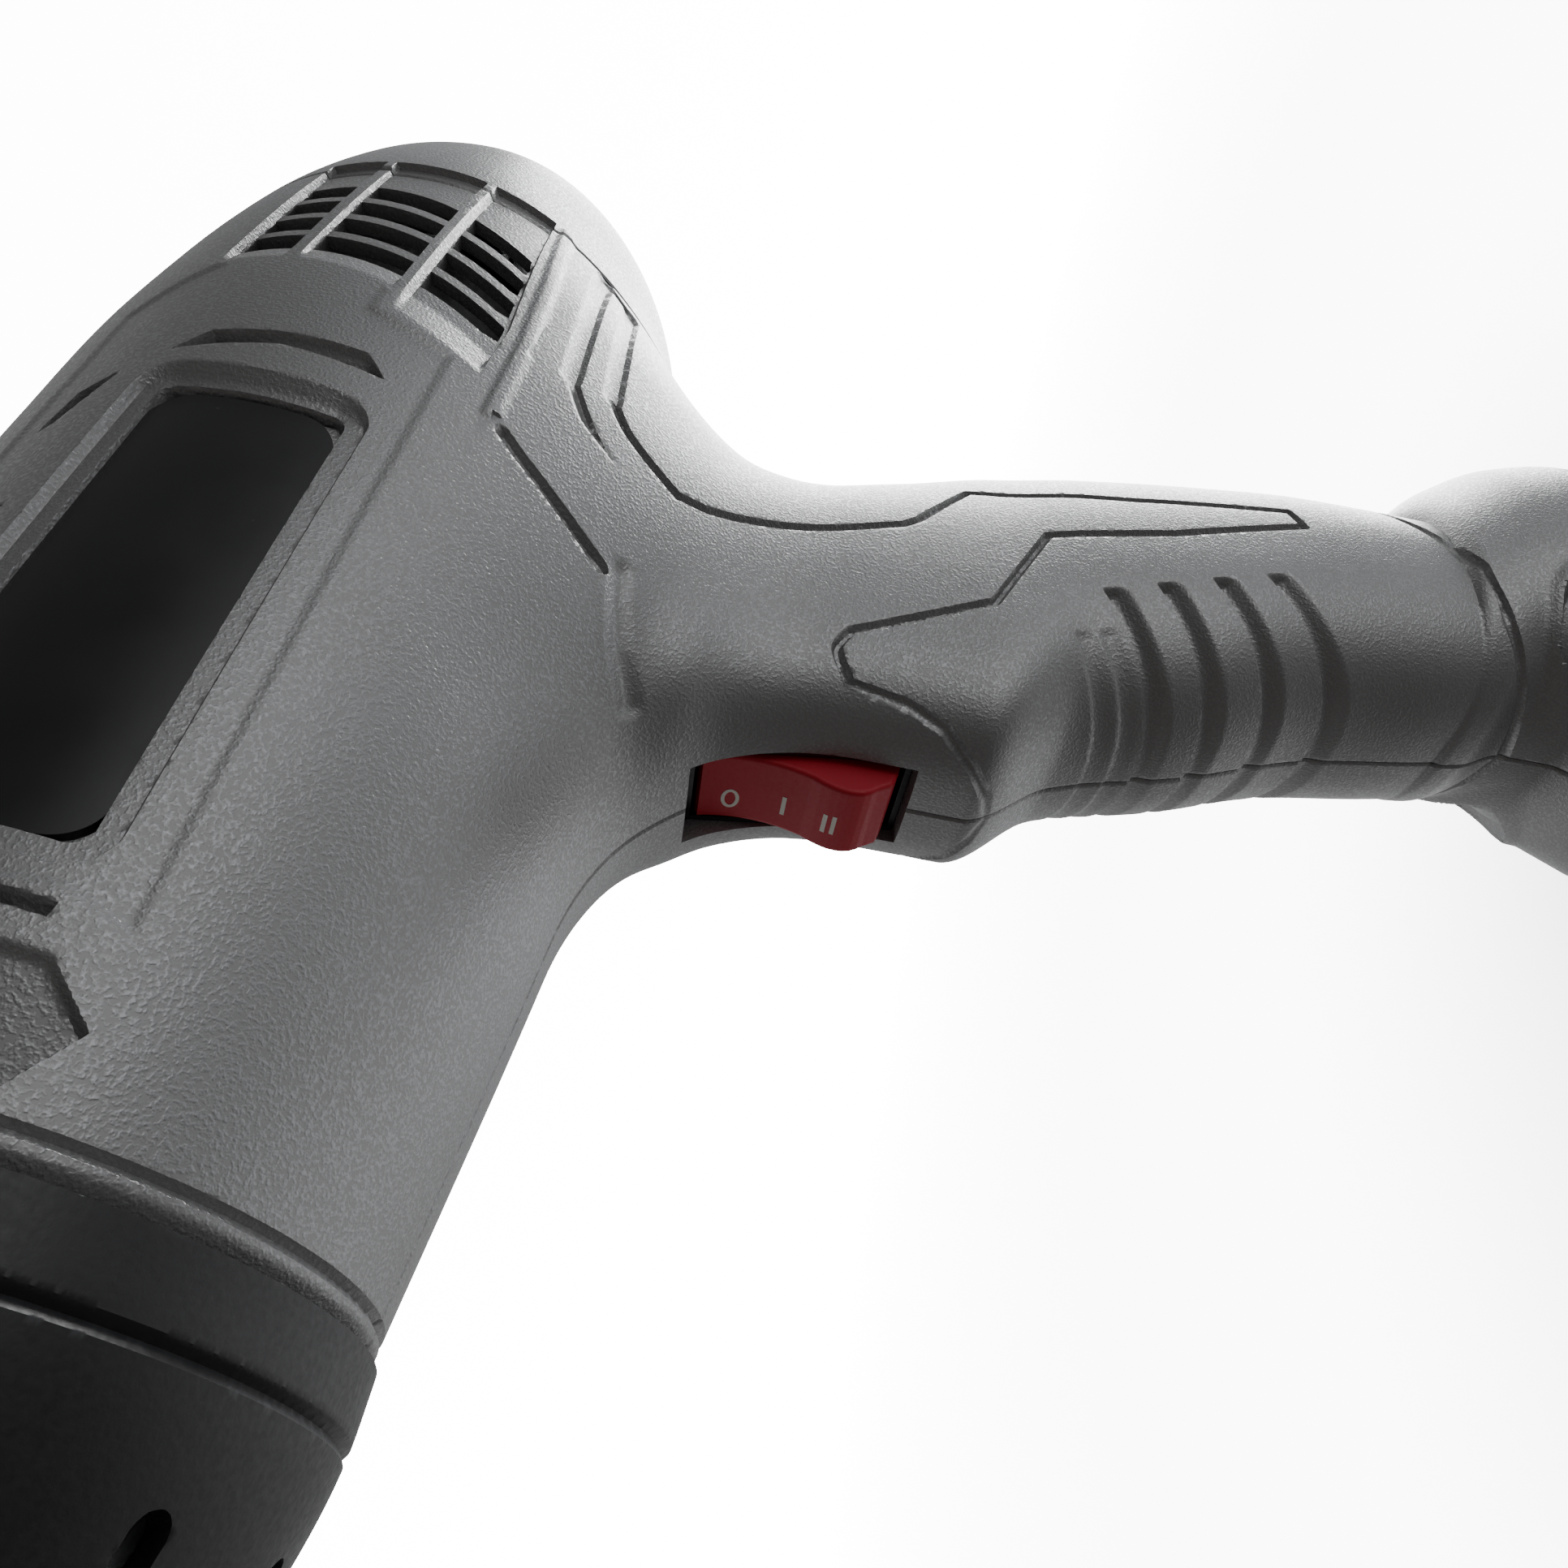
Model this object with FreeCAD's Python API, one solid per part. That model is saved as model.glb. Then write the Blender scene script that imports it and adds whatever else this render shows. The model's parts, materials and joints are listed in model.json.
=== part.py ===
import FreeCAD, Part
import os
from FreeCAD import Base

# Heat gun, millimetres.  The origin is the centre of the flat rear face.
# +X runs along the barrel to the nozzle, +Y is the user's left, +Z is up.
# The grip hangs down towards -Z.

os.makedirs("parts", exist_ok=True)

# ---- driving dimensions: housing ----
WALL = 2.5                  # shell wall
CAP_LENGTH = 32.0           # rear cap, from the rear face to its joint line
BARREL_END = 154.4          # front edge of the silver shells
SHROUD_END = 192.0          # front edge of the black collar
BARREL_STATIONS = [(0.0, 28.0), (3.0, 31.5), (15.0, 36.3), (CAP_LENGTH, 39.2), (47.0, 40.1),
                   (60.0, 40.3), (81.0, 39.2), (118.0, 36.3), (BARREL_END, 32.7)]
SHROUD_STATIONS = [(BARREL_END, 33.4), (158.0, 33.4), (184.0, 26.5), (SHROUD_END, 22.5)]
SHROUD_WALL = 2.2
SHROUD_SLOT = (168.0, 180.0)
SHROUD_SLOT_COUNT = 12

# grip sections at a height: z, front x, rear x, half width
GRIP_STATIONS = [(-22.0, 117.0, 34.5, 27.0), (-36.0, 107.0, 37.0, 22.5), (-43.0, 94.0, 40.5, 18.8),
                 (-50.0, 88.8, 38.5, 17.6), (-66.0, 86.4, 31.5, 17.5), (-79.0, 86.4, 25.6, 17.8),
                 (-90.0, 78.6, 23.4, 18.6), (-108.0, 72.0, 19.8, 19.0), (-125.0, 64.6, 17.3, 18.8),
                 (-141.0, 60.6, 17.0, 18.4)]
FOOT_STATIONS = [(-141.0, 60.8, 14.0, 19.0), (-148.0, 59.2, 6.6, 20.8), (-155.0, 55.6, 2.2, 23.0),
                 (-162.0, 55.4, 1.0, 24.8), (-171.0, 60.5, 2.6, 26.0), (-182.0, 67.0, 6.0, 26.5)]
FOOT_BOTTOM = -182.0
FOOT_FLOOR = -178.5         # inside of the foot's bottom wall
GRIP_SECTIONS = 16
FOOT_SECTIONS = 5

# ---- driving dimensions: side plate and vents ----
PLATE_X = (84.0, 133.0)     # nameplate, rear and front edges
PLATE_HALF = 9.0            # nameplate half height
PLATE_LEDGE = 2.4           # ledge of the recess round the nameplate
PLATE_CORNER = 4.0
PLATE_SINK = 1.8            # nameplate face below the barrel surface
PLATE_THICK = 1.2
VENT_FIRST = 36.0           # rear edge of the first louvre slot
VENT_PITCH = 5.2
VENT_GAP = 3.2
VENT_COUNT = 4
VENT_BANDS = [(-15.6, -7.6), (-5.0, 5.6), (8.2, 15.0)]

# ---- driving dimensions: rocker switch ----
SWITCH_TILT = 10.1          # forward lean of the switch axis, degrees
SWITCH_CENTRE = Base.Vector(86.5, 0.0, -59.1)
SWITCH_LONG = 26.4          # opening along the grip
SWITCH_WIDE = 13.6          # opening across the grip
SWITCH_DEEP = 14.5
HOUSING_GAP = 0.1
HOUSING_WALL = 0.75
ROCKER_REACH = 12.0         # radius of the rocker's ends about its pivot
ROCKER_HALF_WIDTH = 5.6
PIVOT_DEPTH = 3.0
PIVOT_R = 1.0
TERMINAL_PLACES = (-6.0, 0.0, 6.0)
TERMINAL_HALF_WIDTH = 1.6
TERMINAL_HALF_THICK = 0.4
TERMINAL_END = -20.0
LEVER_DEPTH = 11.6
LEVER_HALF = 7.0
RUNNING_FIT = 0.05

# ---- driving dimensions: hot air train ----
TUBE_R = 17.5
TUBE_WALL = 0.8
HIDDEN_TUBE_R = 17.3        # outside of the tube where the collar covers it
TUBE_START = 120.0
NOZZLE_END = 230.0
FLANGE_R = 25.0
FLANGE_THICK = 0.8
DUCT_SCREW_R = 1.2
DUCT_SCREW_RING = 21.5      # radius of the circle of the flange screws
DUCT_SCREW_TURNS = (90.0, 210.0, 330.0)
SLEEVE_WALL = 0.5
SHIELD_R = 22.4
VANE_THICK = 0.8
VANE_START = 126.0
VANE_END = 214.0
DISC_THICK = 3.0
FAN_RING_R = 33.0
FAN_RING_WALL = 1.6
BLADE_CLEARANCE = 0.8       # from the blade tips to the fan ring
GUIDE_VANE_COUNT = 6
FAN_REAR = 37.0
FAN_FRONT = 51.0
MOTOR_R = 18.0
MOTOR_WALL = 1.0
MAGNET_THICK = 3.0
BUSH_R = 4.0
MOTOR_START = 58.0
MOTOR_END = 100.0
SHAFT_R = 1.5
SHAFT_REAR = 37.0
SHAFT_FRONT = 104.0
BLADE_COUNT = 9
HUB_R = 8.0
DUCT_START = 78.0
DUCT_END = TUBE_START

# ---- driving dimensions: fasteners, cord entry ----
SCREW_R = 1.45
SCREW_HEAD_R = 3.0
SCREW_HEAD_HEIGHT = 2.2
CROSS_LONG = 2.0            # half length of the cross recess in a screw head
CROSS_WIDE = 0.4            # half width of the cross recess
BOSS_R = 4.0
SHELL_SCREWS = [(142.0, 25.5), (142.0, -25.5), (50.0, -52.0), (50.0, -98.0), (30.0, -128.0)]
CAP_SCREW_Y = 24.0
CAP_SEAT = 3.5              # seat of the cap screws' heads, from the rear face
CAP_SLOT_PITCH = 7.0
CAP_SLOT_HALF = 17.0        # half length of the air slots in the rear face
GLAND_X = 36.0
GLAND_R = 7.0
GLAND_LIP = 1.5             # lip of the gland below the foot
CLAMP_SCREW_OFFSET = 8.5
CLAMP_SCREW_RISE = 19.5     # clamp screws above the foot's bottom
CORD_BORE_R = 3.9

X_AXIS = Base.Vector(1, 0, 0)
Y_AXIS = Base.Vector(0, 1, 0)
Z_AXIS = Base.Vector(0, 0, 1)
ZERO = Base.Vector(0, 0, 0)


# ---- helpers ----
def point(x, y, z):
    return Base.Vector(x, y, z)


def block(x0, x1, y0, y1, z0, z1):
    """Box between two corners."""
    return Part.makeBox(x1 - x0, y1 - y0, z1 - z0, point(x0, y0, z0))


def rod_x(x0, x1, radius, y=0.0, z=0.0):
    """Round bar along X."""
    return Part.makeCylinder(radius, x1 - x0, point(x0, y, z), X_AXIS)


def rod_y(y0, y1, radius, x, z):
    """Round bar along Y."""
    return Part.makeCylinder(radius, y1 - y0, point(x, y0, z), Y_AXIS)


def rod_z(z0, z1, radius, x, y):
    """Round bar along Z."""
    return Part.makeCylinder(radius, z1 - z0, point(x, y, z0), Z_AXIS)


def tube_x(x0, x1, outer, inner):
    """Tube along X."""
    return rod_x(x0, x1, outer).cut(rod_x(x0 - 1.0, x1 + 1.0, inner))


def turned(points):
    """Solid turned about the X axis from a closed outline of (x, r) points."""
    outline = [point(x, 0, r) for x, r in points]
    face = Part.Face(Part.makePolygon(outline + [outline[0]]))
    return face.revolve(ZERO, X_AXIS, 360)


def turned_curve(stations, inset):
    """Solid turned from a smooth curve through (x, r) stations, moved in by inset."""
    nodes = [point(x, 0, r - inset) for x, r in stations]
    curve = Part.BSplineCurve()
    curve.interpolate(nodes)
    first, last = nodes[0], nodes[-1]
    sides = [point(last.x, 0, 0), point(first.x, 0, 0)]
    wire = Part.Wire([curve.toShape(), Part.makeLine(last, sides[0]),
                      Part.makeLine(sides[0], sides[1]), Part.makeLine(sides[1], first)])
    return Part.Face(wire).revolve(ZERO, X_AXIS, 360)


def extruded(points, direction):
    """Prism from a closed outline of vectors."""
    return Part.Face(Part.makePolygon(points + [points[0]])).extrude(direction)


def fused(shapes):
    """One solid from overlapping shapes."""
    result = shapes[0]
    for shape in shapes[1:]:
        result = result.fuse(shape)
    return result.removeSplitter()


def slope(z0, v0, z1, v1, z2, v2):
    """Slope at the middle of three points, level where the values turn back."""
    before, after = (v1 - v0) / (z1 - z0), (v2 - v1) / (z2 - z1)
    if before * after <= 0.0:
        return 0.0
    return 2.0 * before * after / (before + after)


def section_at(stations, z):
    """Front, rear and half width at a height, on smooth curves without overshoot."""
    last = len(stations) - 1
    index = min(i for i in range(last) if z >= stations[i + 1][0] - 1e-6)
    before, start = stations[max(index - 1, 0)], stations[index]
    end, after = stations[index + 1], stations[min(index + 2, last)]
    span = end[0] - start[0]
    t = (z - start[0]) / span
    values = []
    for column in (1, 2, 3):
        chord = (end[column] - start[column]) / span
        m0 = m1 = chord
        if index > 0:
            m0 = slope(before[0], before[column], start[0], start[column], end[0], end[column])
        if index + 1 < last:
            m1 = slope(start[0], start[column], end[0], end[column], after[0], after[column])
        value = (2 * t ** 3 - 3 * t ** 2 + 1) * start[column] + (t ** 3 - 2 * t ** 2 + t) * span * m0
        value += (3 * t ** 2 - 2 * t ** 3) * end[column] + (t ** 3 - t ** 2) * span * m1
        values.append(value)
    return values


def grip_loft(stations, inset, sections):
    """Loft through evenly spaced elliptical sections along the grip."""
    wires = []
    top, bottom = stations[0][0], stations[-1][0]
    for number in range(sections + 1):
        z = top + (bottom - top) * number / sections
        front, rear, half_width = section_at(stations, z)
        centre = point((front + rear) / 2, 0, z)
        half_depth = (front - rear) / 2
        oval = Part.Ellipse(centre, half_depth - inset, half_width - inset)
        wires.append(Part.Wire(oval.toShape()))
    return Part.makeLoft(wires, True, False)


def rounded_prism(x0, x1, half, corner, y0, y1):
    """Prism along Y with rounded corners, centred on z = 0."""
    body = block(x0, x1, y0, y1, -half, half)
    edges = [e for e in body.Edges if abs(e.tangentAt(e.FirstParameter).y) > 0.9]
    return body.makeFillet(corner, edges)


def mirrored(shape):
    """Mirror image across the middle plane y = 0."""
    return shape.mirror(ZERO, Y_AXIS)


def in_switch(shape):
    """Move a shape from the switch's own axes to its place in the grip."""
    moved = shape.copy()
    moved.Placement = Base.Placement(SWITCH_CENTRE, Base.Rotation(Y_AXIS, SWITCH_TILT))
    return moved


def save(name, shape):
    """Write one sub-part and say what it is."""
    if len(shape.Solids) == 1:
        shape = shape.Solids[0]
    print(name, "solids", len(shape.Solids), "valid", shape.isValid(), "volume", round(shape.Volume, 1))
    shape.exportStep("parts/" + name + ".step")


# ---- housing ----
def outer_body():
    """Outside form of the barrel, grip and foot as one solid."""
    barrel = turned_curve(BARREL_STATIONS, 0.0)
    barrel = barrel.common(block(CAP_LENGTH, BARREL_END, -60, 60, -60, 60))
    grip = grip_loft(GRIP_STATIONS, 0.0, GRIP_SECTIONS)
    foot = grip_loft(FOOT_STATIONS, 0.0, FOOT_SECTIONS)
    return barrel.fuse(grip).fuse(foot)


def inner_body():
    """Hollow of the barrel, grip and foot."""
    barrel = turned_curve(BARREL_STATIONS, WALL)
    barrel = barrel.common(block(CAP_LENGTH - 1, BARREL_END + 1, -60, 60, -60, 60))
    front_plug = rod_x(BARREL_END - 0.1, BARREL_END + 1, BARREL_STATIONS[-1][1] - WALL)
    grip = grip_loft(GRIP_STATIONS, WALL, GRIP_SECTIONS)
    foot = grip_loft(FOOT_STATIONS[:-1] + [(FOOT_FLOOR, 65.0, 4.8, 26.4)], WALL + 0.5, FOOT_SECTIONS)
    bore = barrel.fuse(front_plug).fuse(grip).fuse(foot)
    recess = plate_recess(0.0, PLATE_SINK + PLATE_THICK + WALL - 0.6, PLATE_LEDGE + WALL)
    return bore.cut(recess).cut(mirrored(recess))


def plate_recess(top, depth, margin):
    """Left-hand curved slab that follows the barrel between two depths."""
    half = PLATE_HALF + margin
    x0, x1 = PLATE_X[0] - margin, PLATE_X[1] + margin
    prism = rounded_prism(x0, x1, half, PLATE_CORNER + margin, 5.0, 60.0)
    slab = turned_curve(BARREL_STATIONS, top).cut(turned_curve(BARREL_STATIONS, depth))
    return prism.common(slab)


def louvre_cuts():
    """Left-hand rows of slots in front of the rear cap."""
    cuts = []
    for band in VENT_BANDS:
        for number in range(VENT_COUNT):
            x0 = VENT_FIRST + number * VENT_PITCH
            cuts.append(block(x0, x0 + VENT_GAP, 20.0, 60.0, band[0], band[1]))
    return Part.makeCompound(cuts)


def switch_opening():
    """Rectangular opening in the front of the grip."""
    long_half, wide_half = SWITCH_LONG / 2, SWITCH_WIDE / 2
    return in_switch(block(-SWITCH_DEEP, 20.0, -wide_half, wide_half, -long_half, long_half))


def screw_bosses(side):
    """Posts that join the two shells; side is +1 on the left shell."""
    posts = []
    for x, z in SHELL_SCREWS:
        y0, y1 = (0.0, 45.0) if side > 0 else (-45.0, 0.0)
        posts.append(rod_y(y0, y1, BOSS_R, x, z))
    return posts


def cap_lug():
    """Left-hand lug that takes a rear cap screw."""
    return block(CAP_LENGTH, CAP_LENGTH + 4.0, CAP_SCREW_Y - 4.0, 45.0, -4.0, 4.0)


def fan_rest():
    """Rib ring in the barrel that carries the fan housing."""
    return tube_x(64.0, 67.0, 39.0, FAN_RING_R)


def duct_rest():
    """Rib ring in the barrel that carries the nozzle flange."""
    return tube_x(TUBE_START - 3.0, TUBE_START + 1.8, 36.0, FLANGE_R)


def make_shells():
    """Left and right shell."""
    outside = outer_body()
    wall = outside.cut(inner_body())
    inner_parts = [fan_rest(), duct_rest()] + screw_bosses(1) + screw_bosses(-1)
    inner_parts += [cap_lug(), mirrored(cap_lug())]
    limit = outside.cut(rod_x(100, 160, FLANGE_R))
    for piece in inner_parts:
        wall = wall.fuse(piece.common(limit))
    recess = plate_recess(-2.0, PLATE_SINK + PLATE_THICK, 0.0)
    ledge = plate_recess(-2.0, PLATE_SINK - 0.6, PLATE_LEDGE)
    tools = [recess, mirrored(recess), ledge, mirrored(ledge), switch_opening()]
    tools += [louvre_cuts(), mirrored(louvre_cuts())]
    tools.append(rod_z(FOOT_BOTTOM - 5, FOOT_BOTTOM + 12, GLAND_R, GLAND_X, 0))
    tools.append(rod_x(BARREL_END - 6.0, BARREL_END + 2, BARREL_STATIONS[-1][1] - WALL + 0.7))
    for sign in (1, -1):
        tools.append(rod_x(CAP_LENGTH - 1, CAP_LENGTH + 6, SCREW_R, sign * CAP_SCREW_Y))
    for x, z in SHELL_SCREWS:
        tools.append(rod_y(-0.1, 9.0, SCREW_R, x, z))
        tools.append(rod_y(-60.0, 0.1, SCREW_R + 0.3, x, z))
        tools.append(rod_y(-60.0, screw_seat(x, z), SCREW_HEAD_R + 0.4, x, z))
    for tool in tools:
        wall = wall.cut(tool)
    left = wall.common(block(-10, 300, 0, 80, -200, 80))
    right = wall.common(block(-10, 300, -80, 0, -200, 80))
    return largest(left), largest(right)


def largest(shape):
    """Biggest solid of a shape, without loose slivers."""
    return max(shape.Solids, key=lambda solid: solid.Volume)


def screw_seat(x, z):
    """y of the seat under a shell screw's head."""
    return -13.5 if z > -60.0 else -11.5


def make_shell_screws():
    """Pan-head screws through the right shell."""
    solids = []
    for x, z in SHELL_SCREWS:
        seat = screw_seat(x, z)
        shank = rod_y(seat, 8.0, SCREW_R, x, z)
        head = rod_y(seat - SCREW_HEAD_HEIGHT, seat, SCREW_HEAD_R, x, z)
        top, deep = seat - 3.0, seat - 1.2
        slot = block(x - CROSS_LONG, x + CROSS_LONG, top, deep, z - CROSS_WIDE, z + CROSS_WIDE)
        cross = block(x - CROSS_WIDE, x + CROSS_WIDE, top, deep, z - CROSS_LONG, z + CROSS_LONG)
        solids.append(shank.fuse(head).cut(slot).cut(cross))
    return Part.makeCompound(solids)


def make_rear_cap():
    """Domed cap with a flat rear face, air slots and two screw tunnels."""
    outside = turned_curve(BARREL_STATIONS, 0.0).common(block(0, CAP_LENGTH, -60, 60, -60, 60))
    inside = turned_curve(BARREL_STATIONS, WALL).common(block(WALL, 60, -60, 60, -60, 60))
    cap = outside.cut(inside)
    for sign in (1, -1):
        tunnel = rod_x(0.5, CAP_LENGTH, BOSS_R, sign * CAP_SCREW_Y)
        cap = cap.fuse(tunnel.common(outside))
    spigot = tube_x(CAP_LENGTH - 3.0, CAP_LENGTH + 2.5, 35.2, 33.6)
    cap = cap.fuse(spigot.cut(block(CAP_LENGTH, 60, -60, 60, -5.0, 5.0)))
    for sign in (1, -1):
        cap = cap.cut(rod_x(-1, CAP_LENGTH + 5, SCREW_R + 0.3, sign * CAP_SCREW_Y))
        cap = cap.cut(rod_x(-1, CAP_SEAT, SCREW_HEAD_R + 0.3, sign * CAP_SCREW_Y))
    for number in range(-2, 2):
        z = (number + 0.5) * CAP_SLOT_PITCH
        cap = cap.cut(block(-1, WALL + 1, -CAP_SLOT_HALF, CAP_SLOT_HALF, z - 1.4, z + 1.4))
    return largest(cap)


def make_cap_screws():
    """Two long screws through the rear cap."""
    solids = []
    for sign in (1, -1):
        y = sign * CAP_SCREW_Y
        shank = rod_x(CAP_SEAT, CAP_LENGTH + 3.9, SCREW_R, y)
        head = rod_x(CAP_SEAT - SCREW_HEAD_HEIGHT, CAP_SEAT, SCREW_HEAD_R, y)
        slot = block(0, CAP_SEAT - 1.1, y - CROSS_LONG, y + CROSS_LONG, -CROSS_WIDE, CROSS_WIDE)
        solids.append(shank.fuse(head).cut(slot))
    return Part.makeCompound(solids)


def make_nameplate():
    """Left-hand black plate, curved like the barrel."""
    return plate_recess(PLATE_SINK, PLATE_SINK + PLATE_THICK, -0.05)


def make_shroud():
    """Black collar with a spigot inside the shells."""
    outside = turned_curve(SHROUD_STATIONS, 0.0)
    hollow = block(BARREL_END, SHROUD_END - SHROUD_WALL, -60, 60, -60, 60)
    inside = turned_curve(SHROUD_STATIONS, SHROUD_WALL).common(hollow)
    collar = outside.cut(inside).cut(rod_x(BARREL_END - 1, SHROUD_END + 1, TUBE_R + 0.6))
    spigot_r = BARREL_STATIONS[-1][1] - WALL + 0.65
    spigot = tube_x(BARREL_END - 6.0, BARREL_END + 3.0, spigot_r, spigot_r - 1.8)
    collar = collar.fuse(spigot)
    for number in range(SHROUD_SLOT_COUNT):
        slot = block(SHROUD_SLOT[0], SHROUD_SLOT[1], -1.5, 1.5, 20.0, 40.0)
        slot.rotate(ZERO, X_AXIS, 360.0 / SHROUD_SLOT_COUNT * number)
        collar = collar.cut(slot)
    return largest(collar)


# ---- switch ----
def terminal_blade(z, tip):
    """Flat terminal in the switch's own axes, from behind the housing to its tip."""
    return block(TERMINAL_END, tip, -TERMINAL_HALF_WIDTH, TERMINAL_HALF_WIDTH,
                 z - TERMINAL_HALF_THICK, z + TERMINAL_HALF_THICK)


def make_switch_housing():
    """Open box that fills the grip opening."""
    long_half = SWITCH_LONG / 2 - HOUSING_GAP
    wide_half = SWITCH_WIDE / 2 - HOUSING_GAP
    box = block(-SWITCH_DEEP, 0.0, -wide_half, wide_half, -long_half, long_half)
    inner_long, inner_wide = long_half - HOUSING_WALL, wide_half - HOUSING_WALL
    floor = -SWITCH_DEEP + 1.3
    box = box.cut(block(floor, 1, -inner_wide, inner_wide, -inner_long, inner_long))
    box = box.cut(rod_y(-10, 10, PIVOT_R, -PIVOT_DEPTH, 0))
    for z in TERMINAL_PLACES:
        box = box.cut(terminal_blade(z, -10.0))
    return in_switch(box)


def make_rocker():
    """Rocker with a hollow face, raised at its lower end."""
    start, low = point(0.5, 0, 12.0), point(1.0, 0, 3.5)
    ridge, end = point(5.6, 0, -5.2), point(2.4, 0, -12.0)
    face_curve = Part.Arc(start, low, ridge).toShape()
    back = [point(-5.0, 0, -12.0), point(-5.0, 0, 12.0)]
    wire = Part.Wire([face_curve, Part.makeLine(ridge, end), Part.makeLine(end, back[0]),
                      Part.makeLine(back[0], back[1]), Part.makeLine(back[1], start)])
    body = Part.Face(wire).extrude(point(0, 2 * ROCKER_HALF_WIDTH, 0))
    body.translate(point(0, -ROCKER_HALF_WIDTH, 0))
    body = body.common(rod_y(-20, 20, ROCKER_REACH, -PIVOT_DEPTH, 0))
    body = body.cut(rod_y(-20, 20, PIVOT_R + RUNNING_FIT, -PIVOT_DEPTH, 0))
    return in_switch(body)


def make_rocker_pin():
    """Pivot held in the housing's side walls."""
    half = SWITCH_WIDE / 2 - HOUSING_GAP
    return in_switch(rod_y(-half, half, PIVOT_R, -PIVOT_DEPTH, 0))


def make_plunger():
    """Round plunger under the rocker."""
    return in_switch(rod_x(-10.0, -5.0, 1.4))


def make_contact_lever():
    """Tilting contact bar."""
    bar = block(-LEVER_DEPTH, -LEVER_DEPTH + 0.6, -2.0, 2.0, -LEVER_HALF, LEVER_HALF)
    return in_switch(bar)


def make_terminals():
    """Three flat terminals through the housing's floor."""
    outer_tip, middle_tip = -12.9, -11.9
    solids = []
    for z in TERMINAL_PLACES:
        tip = outer_tip if z else middle_tip
        solids.append(in_switch(terminal_blade(z, tip)))
    return Part.makeCompound(solids)


# ---- hot air train ----
def make_nozzle_tube():
    """Steel outlet tube with a rear flange."""
    inner = TUBE_R - TUBE_WALL
    rim = FLANGE_R - 0.1
    flange_front = TUBE_START + FLANGE_THICK
    outline = [(TUBE_START, inner), (NOZZLE_END, inner), (NOZZLE_END, TUBE_R), (SHROUD_END, TUBE_R),
               (SHROUD_END, HIDDEN_TUBE_R), (flange_front, HIDDEN_TUBE_R), (flange_front, rim),
               (TUBE_START, rim)]
    tube = turned(outline)
    for turn in DUCT_SCREW_TURNS:
        hole = rod_x(TUBE_START - 1, TUBE_START + 2, DUCT_SCREW_R, 0.0, DUCT_SCREW_RING)
        hole.rotate(ZERO, X_AXIS, turn)
        tube = tube.cut(hole)
    return tube


def make_duct_screws():
    """Three small screws through the nozzle flange into the duct."""
    solids = []
    head_start = TUBE_START + FLANGE_THICK
    head_height = 1.6
    for turn in DUCT_SCREW_TURNS:
        screw = rod_x(TUBE_START - 5.0, head_start, DUCT_SCREW_R, 0.0, DUCT_SCREW_RING)
        head = rod_x(head_start, head_start + head_height, 2 * DUCT_SCREW_R, 0.0, DUCT_SCREW_RING)
        screw = screw.fuse(head)
        screw.rotate(ZERO, X_AXIS, turn)
        solids.append(screw)
    return Part.makeCompound(solids)


def make_duct():
    """Funnel from the fan housing to the nozzle flange."""
    outer = FAN_RING_R - 3.0
    inner = FAN_RING_R - 5.0
    throat = TUBE_R - TUBE_WALL + 0.6
    rim = FLANGE_R - 0.3
    taper_inside, taper_outside = 100.0, 102.0
    outline = [(DUCT_START, outer), (DUCT_START, inner), (taper_inside, inner),
               (DUCT_END - 2.0, throat), (DUCT_END, throat),
               (DUCT_END, rim), (DUCT_END - 6.0, rim), (taper_outside, outer)]
    duct = turned(outline)
    for turn in DUCT_SCREW_TURNS:
        hole = rod_x(DUCT_END - 5.0, DUCT_END + 1, DUCT_SCREW_R, 0.0, DUCT_SCREW_RING)
        hole.rotate(ZERO, X_AXIS, turn)
        duct = duct.cut(hole)
    return duct


def make_fan_housing():
    """Ring round the impeller, guide vanes and motor cup in one moulding."""
    start = FAN_REAR - 1.0
    inner = FAN_RING_R - FAN_RING_WALL
    step = FAN_RING_R - 3.0
    collar_end = DUCT_START + 4.0
    ring = turned([(start, FAN_RING_R), (start, inner), (DUCT_START - 1.0, inner),
                   (DUCT_START - 1.0, step), (collar_end, step),
                   (collar_end, FAN_RING_R - 1.0), (DUCT_START, FAN_RING_R)])
    cup_outer = MOTOR_R + 1.6
    cup_rear = MOTOR_START - 1.5
    cup = tube_x(cup_rear, MOTOR_START + 14.0, cup_outer, MOTOR_R)
    floor = tube_x(cup_rear, MOTOR_START, cup_outer, 5.0)
    housing = ring.fuse(cup).fuse(floor)
    vane_half = 0.8
    for number in range(GUIDE_VANE_COUNT):
        vane = block(MOTOR_START - 1.0, MOTOR_START + 13.0, -vane_half, vane_half,
                     MOTOR_R + 0.8, FAN_RING_R - 1.0)
        vane.rotate(ZERO, X_AXIS, 360.0 / GUIDE_VANE_COUNT * (number + 0.5))
        housing = housing.fuse(vane)
    return largest(housing)


def make_impeller():
    """Axial impeller with twisted blades on a domed hub."""
    hub = turned([(FAN_REAR + 1.0, SHAFT_R), (FAN_REAR + 1.0, HUB_R - 3.0), (FAN_REAR + 4.0, HUB_R),
                  (FAN_FRONT, HUB_R), (FAN_FRONT, SHAFT_R)])
    blade_span = FAN_RING_R - FAN_RING_WALL - BLADE_CLEARANCE
    half_chord, half_thick, twist = 7.0, 0.7, 32.0
    impeller = hub
    for number in range(BLADE_COUNT):
        blade = block(-half_chord, half_chord, -half_thick, half_thick, HUB_R - 1.0, blade_span)
        blade.rotate(ZERO, Z_AXIS, twist)
        blade.translate(point((FAN_REAR + FAN_FRONT) / 2 + 0.5, 0, 0))
        blade.rotate(ZERO, X_AXIS, 360.0 * number / BLADE_COUNT)
        impeller = impeller.fuse(blade)
    limit = tube_x(FAN_REAR, FAN_FRONT + 1.0, blade_span, SHAFT_R)
    return largest(impeller.common(limit))


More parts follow.
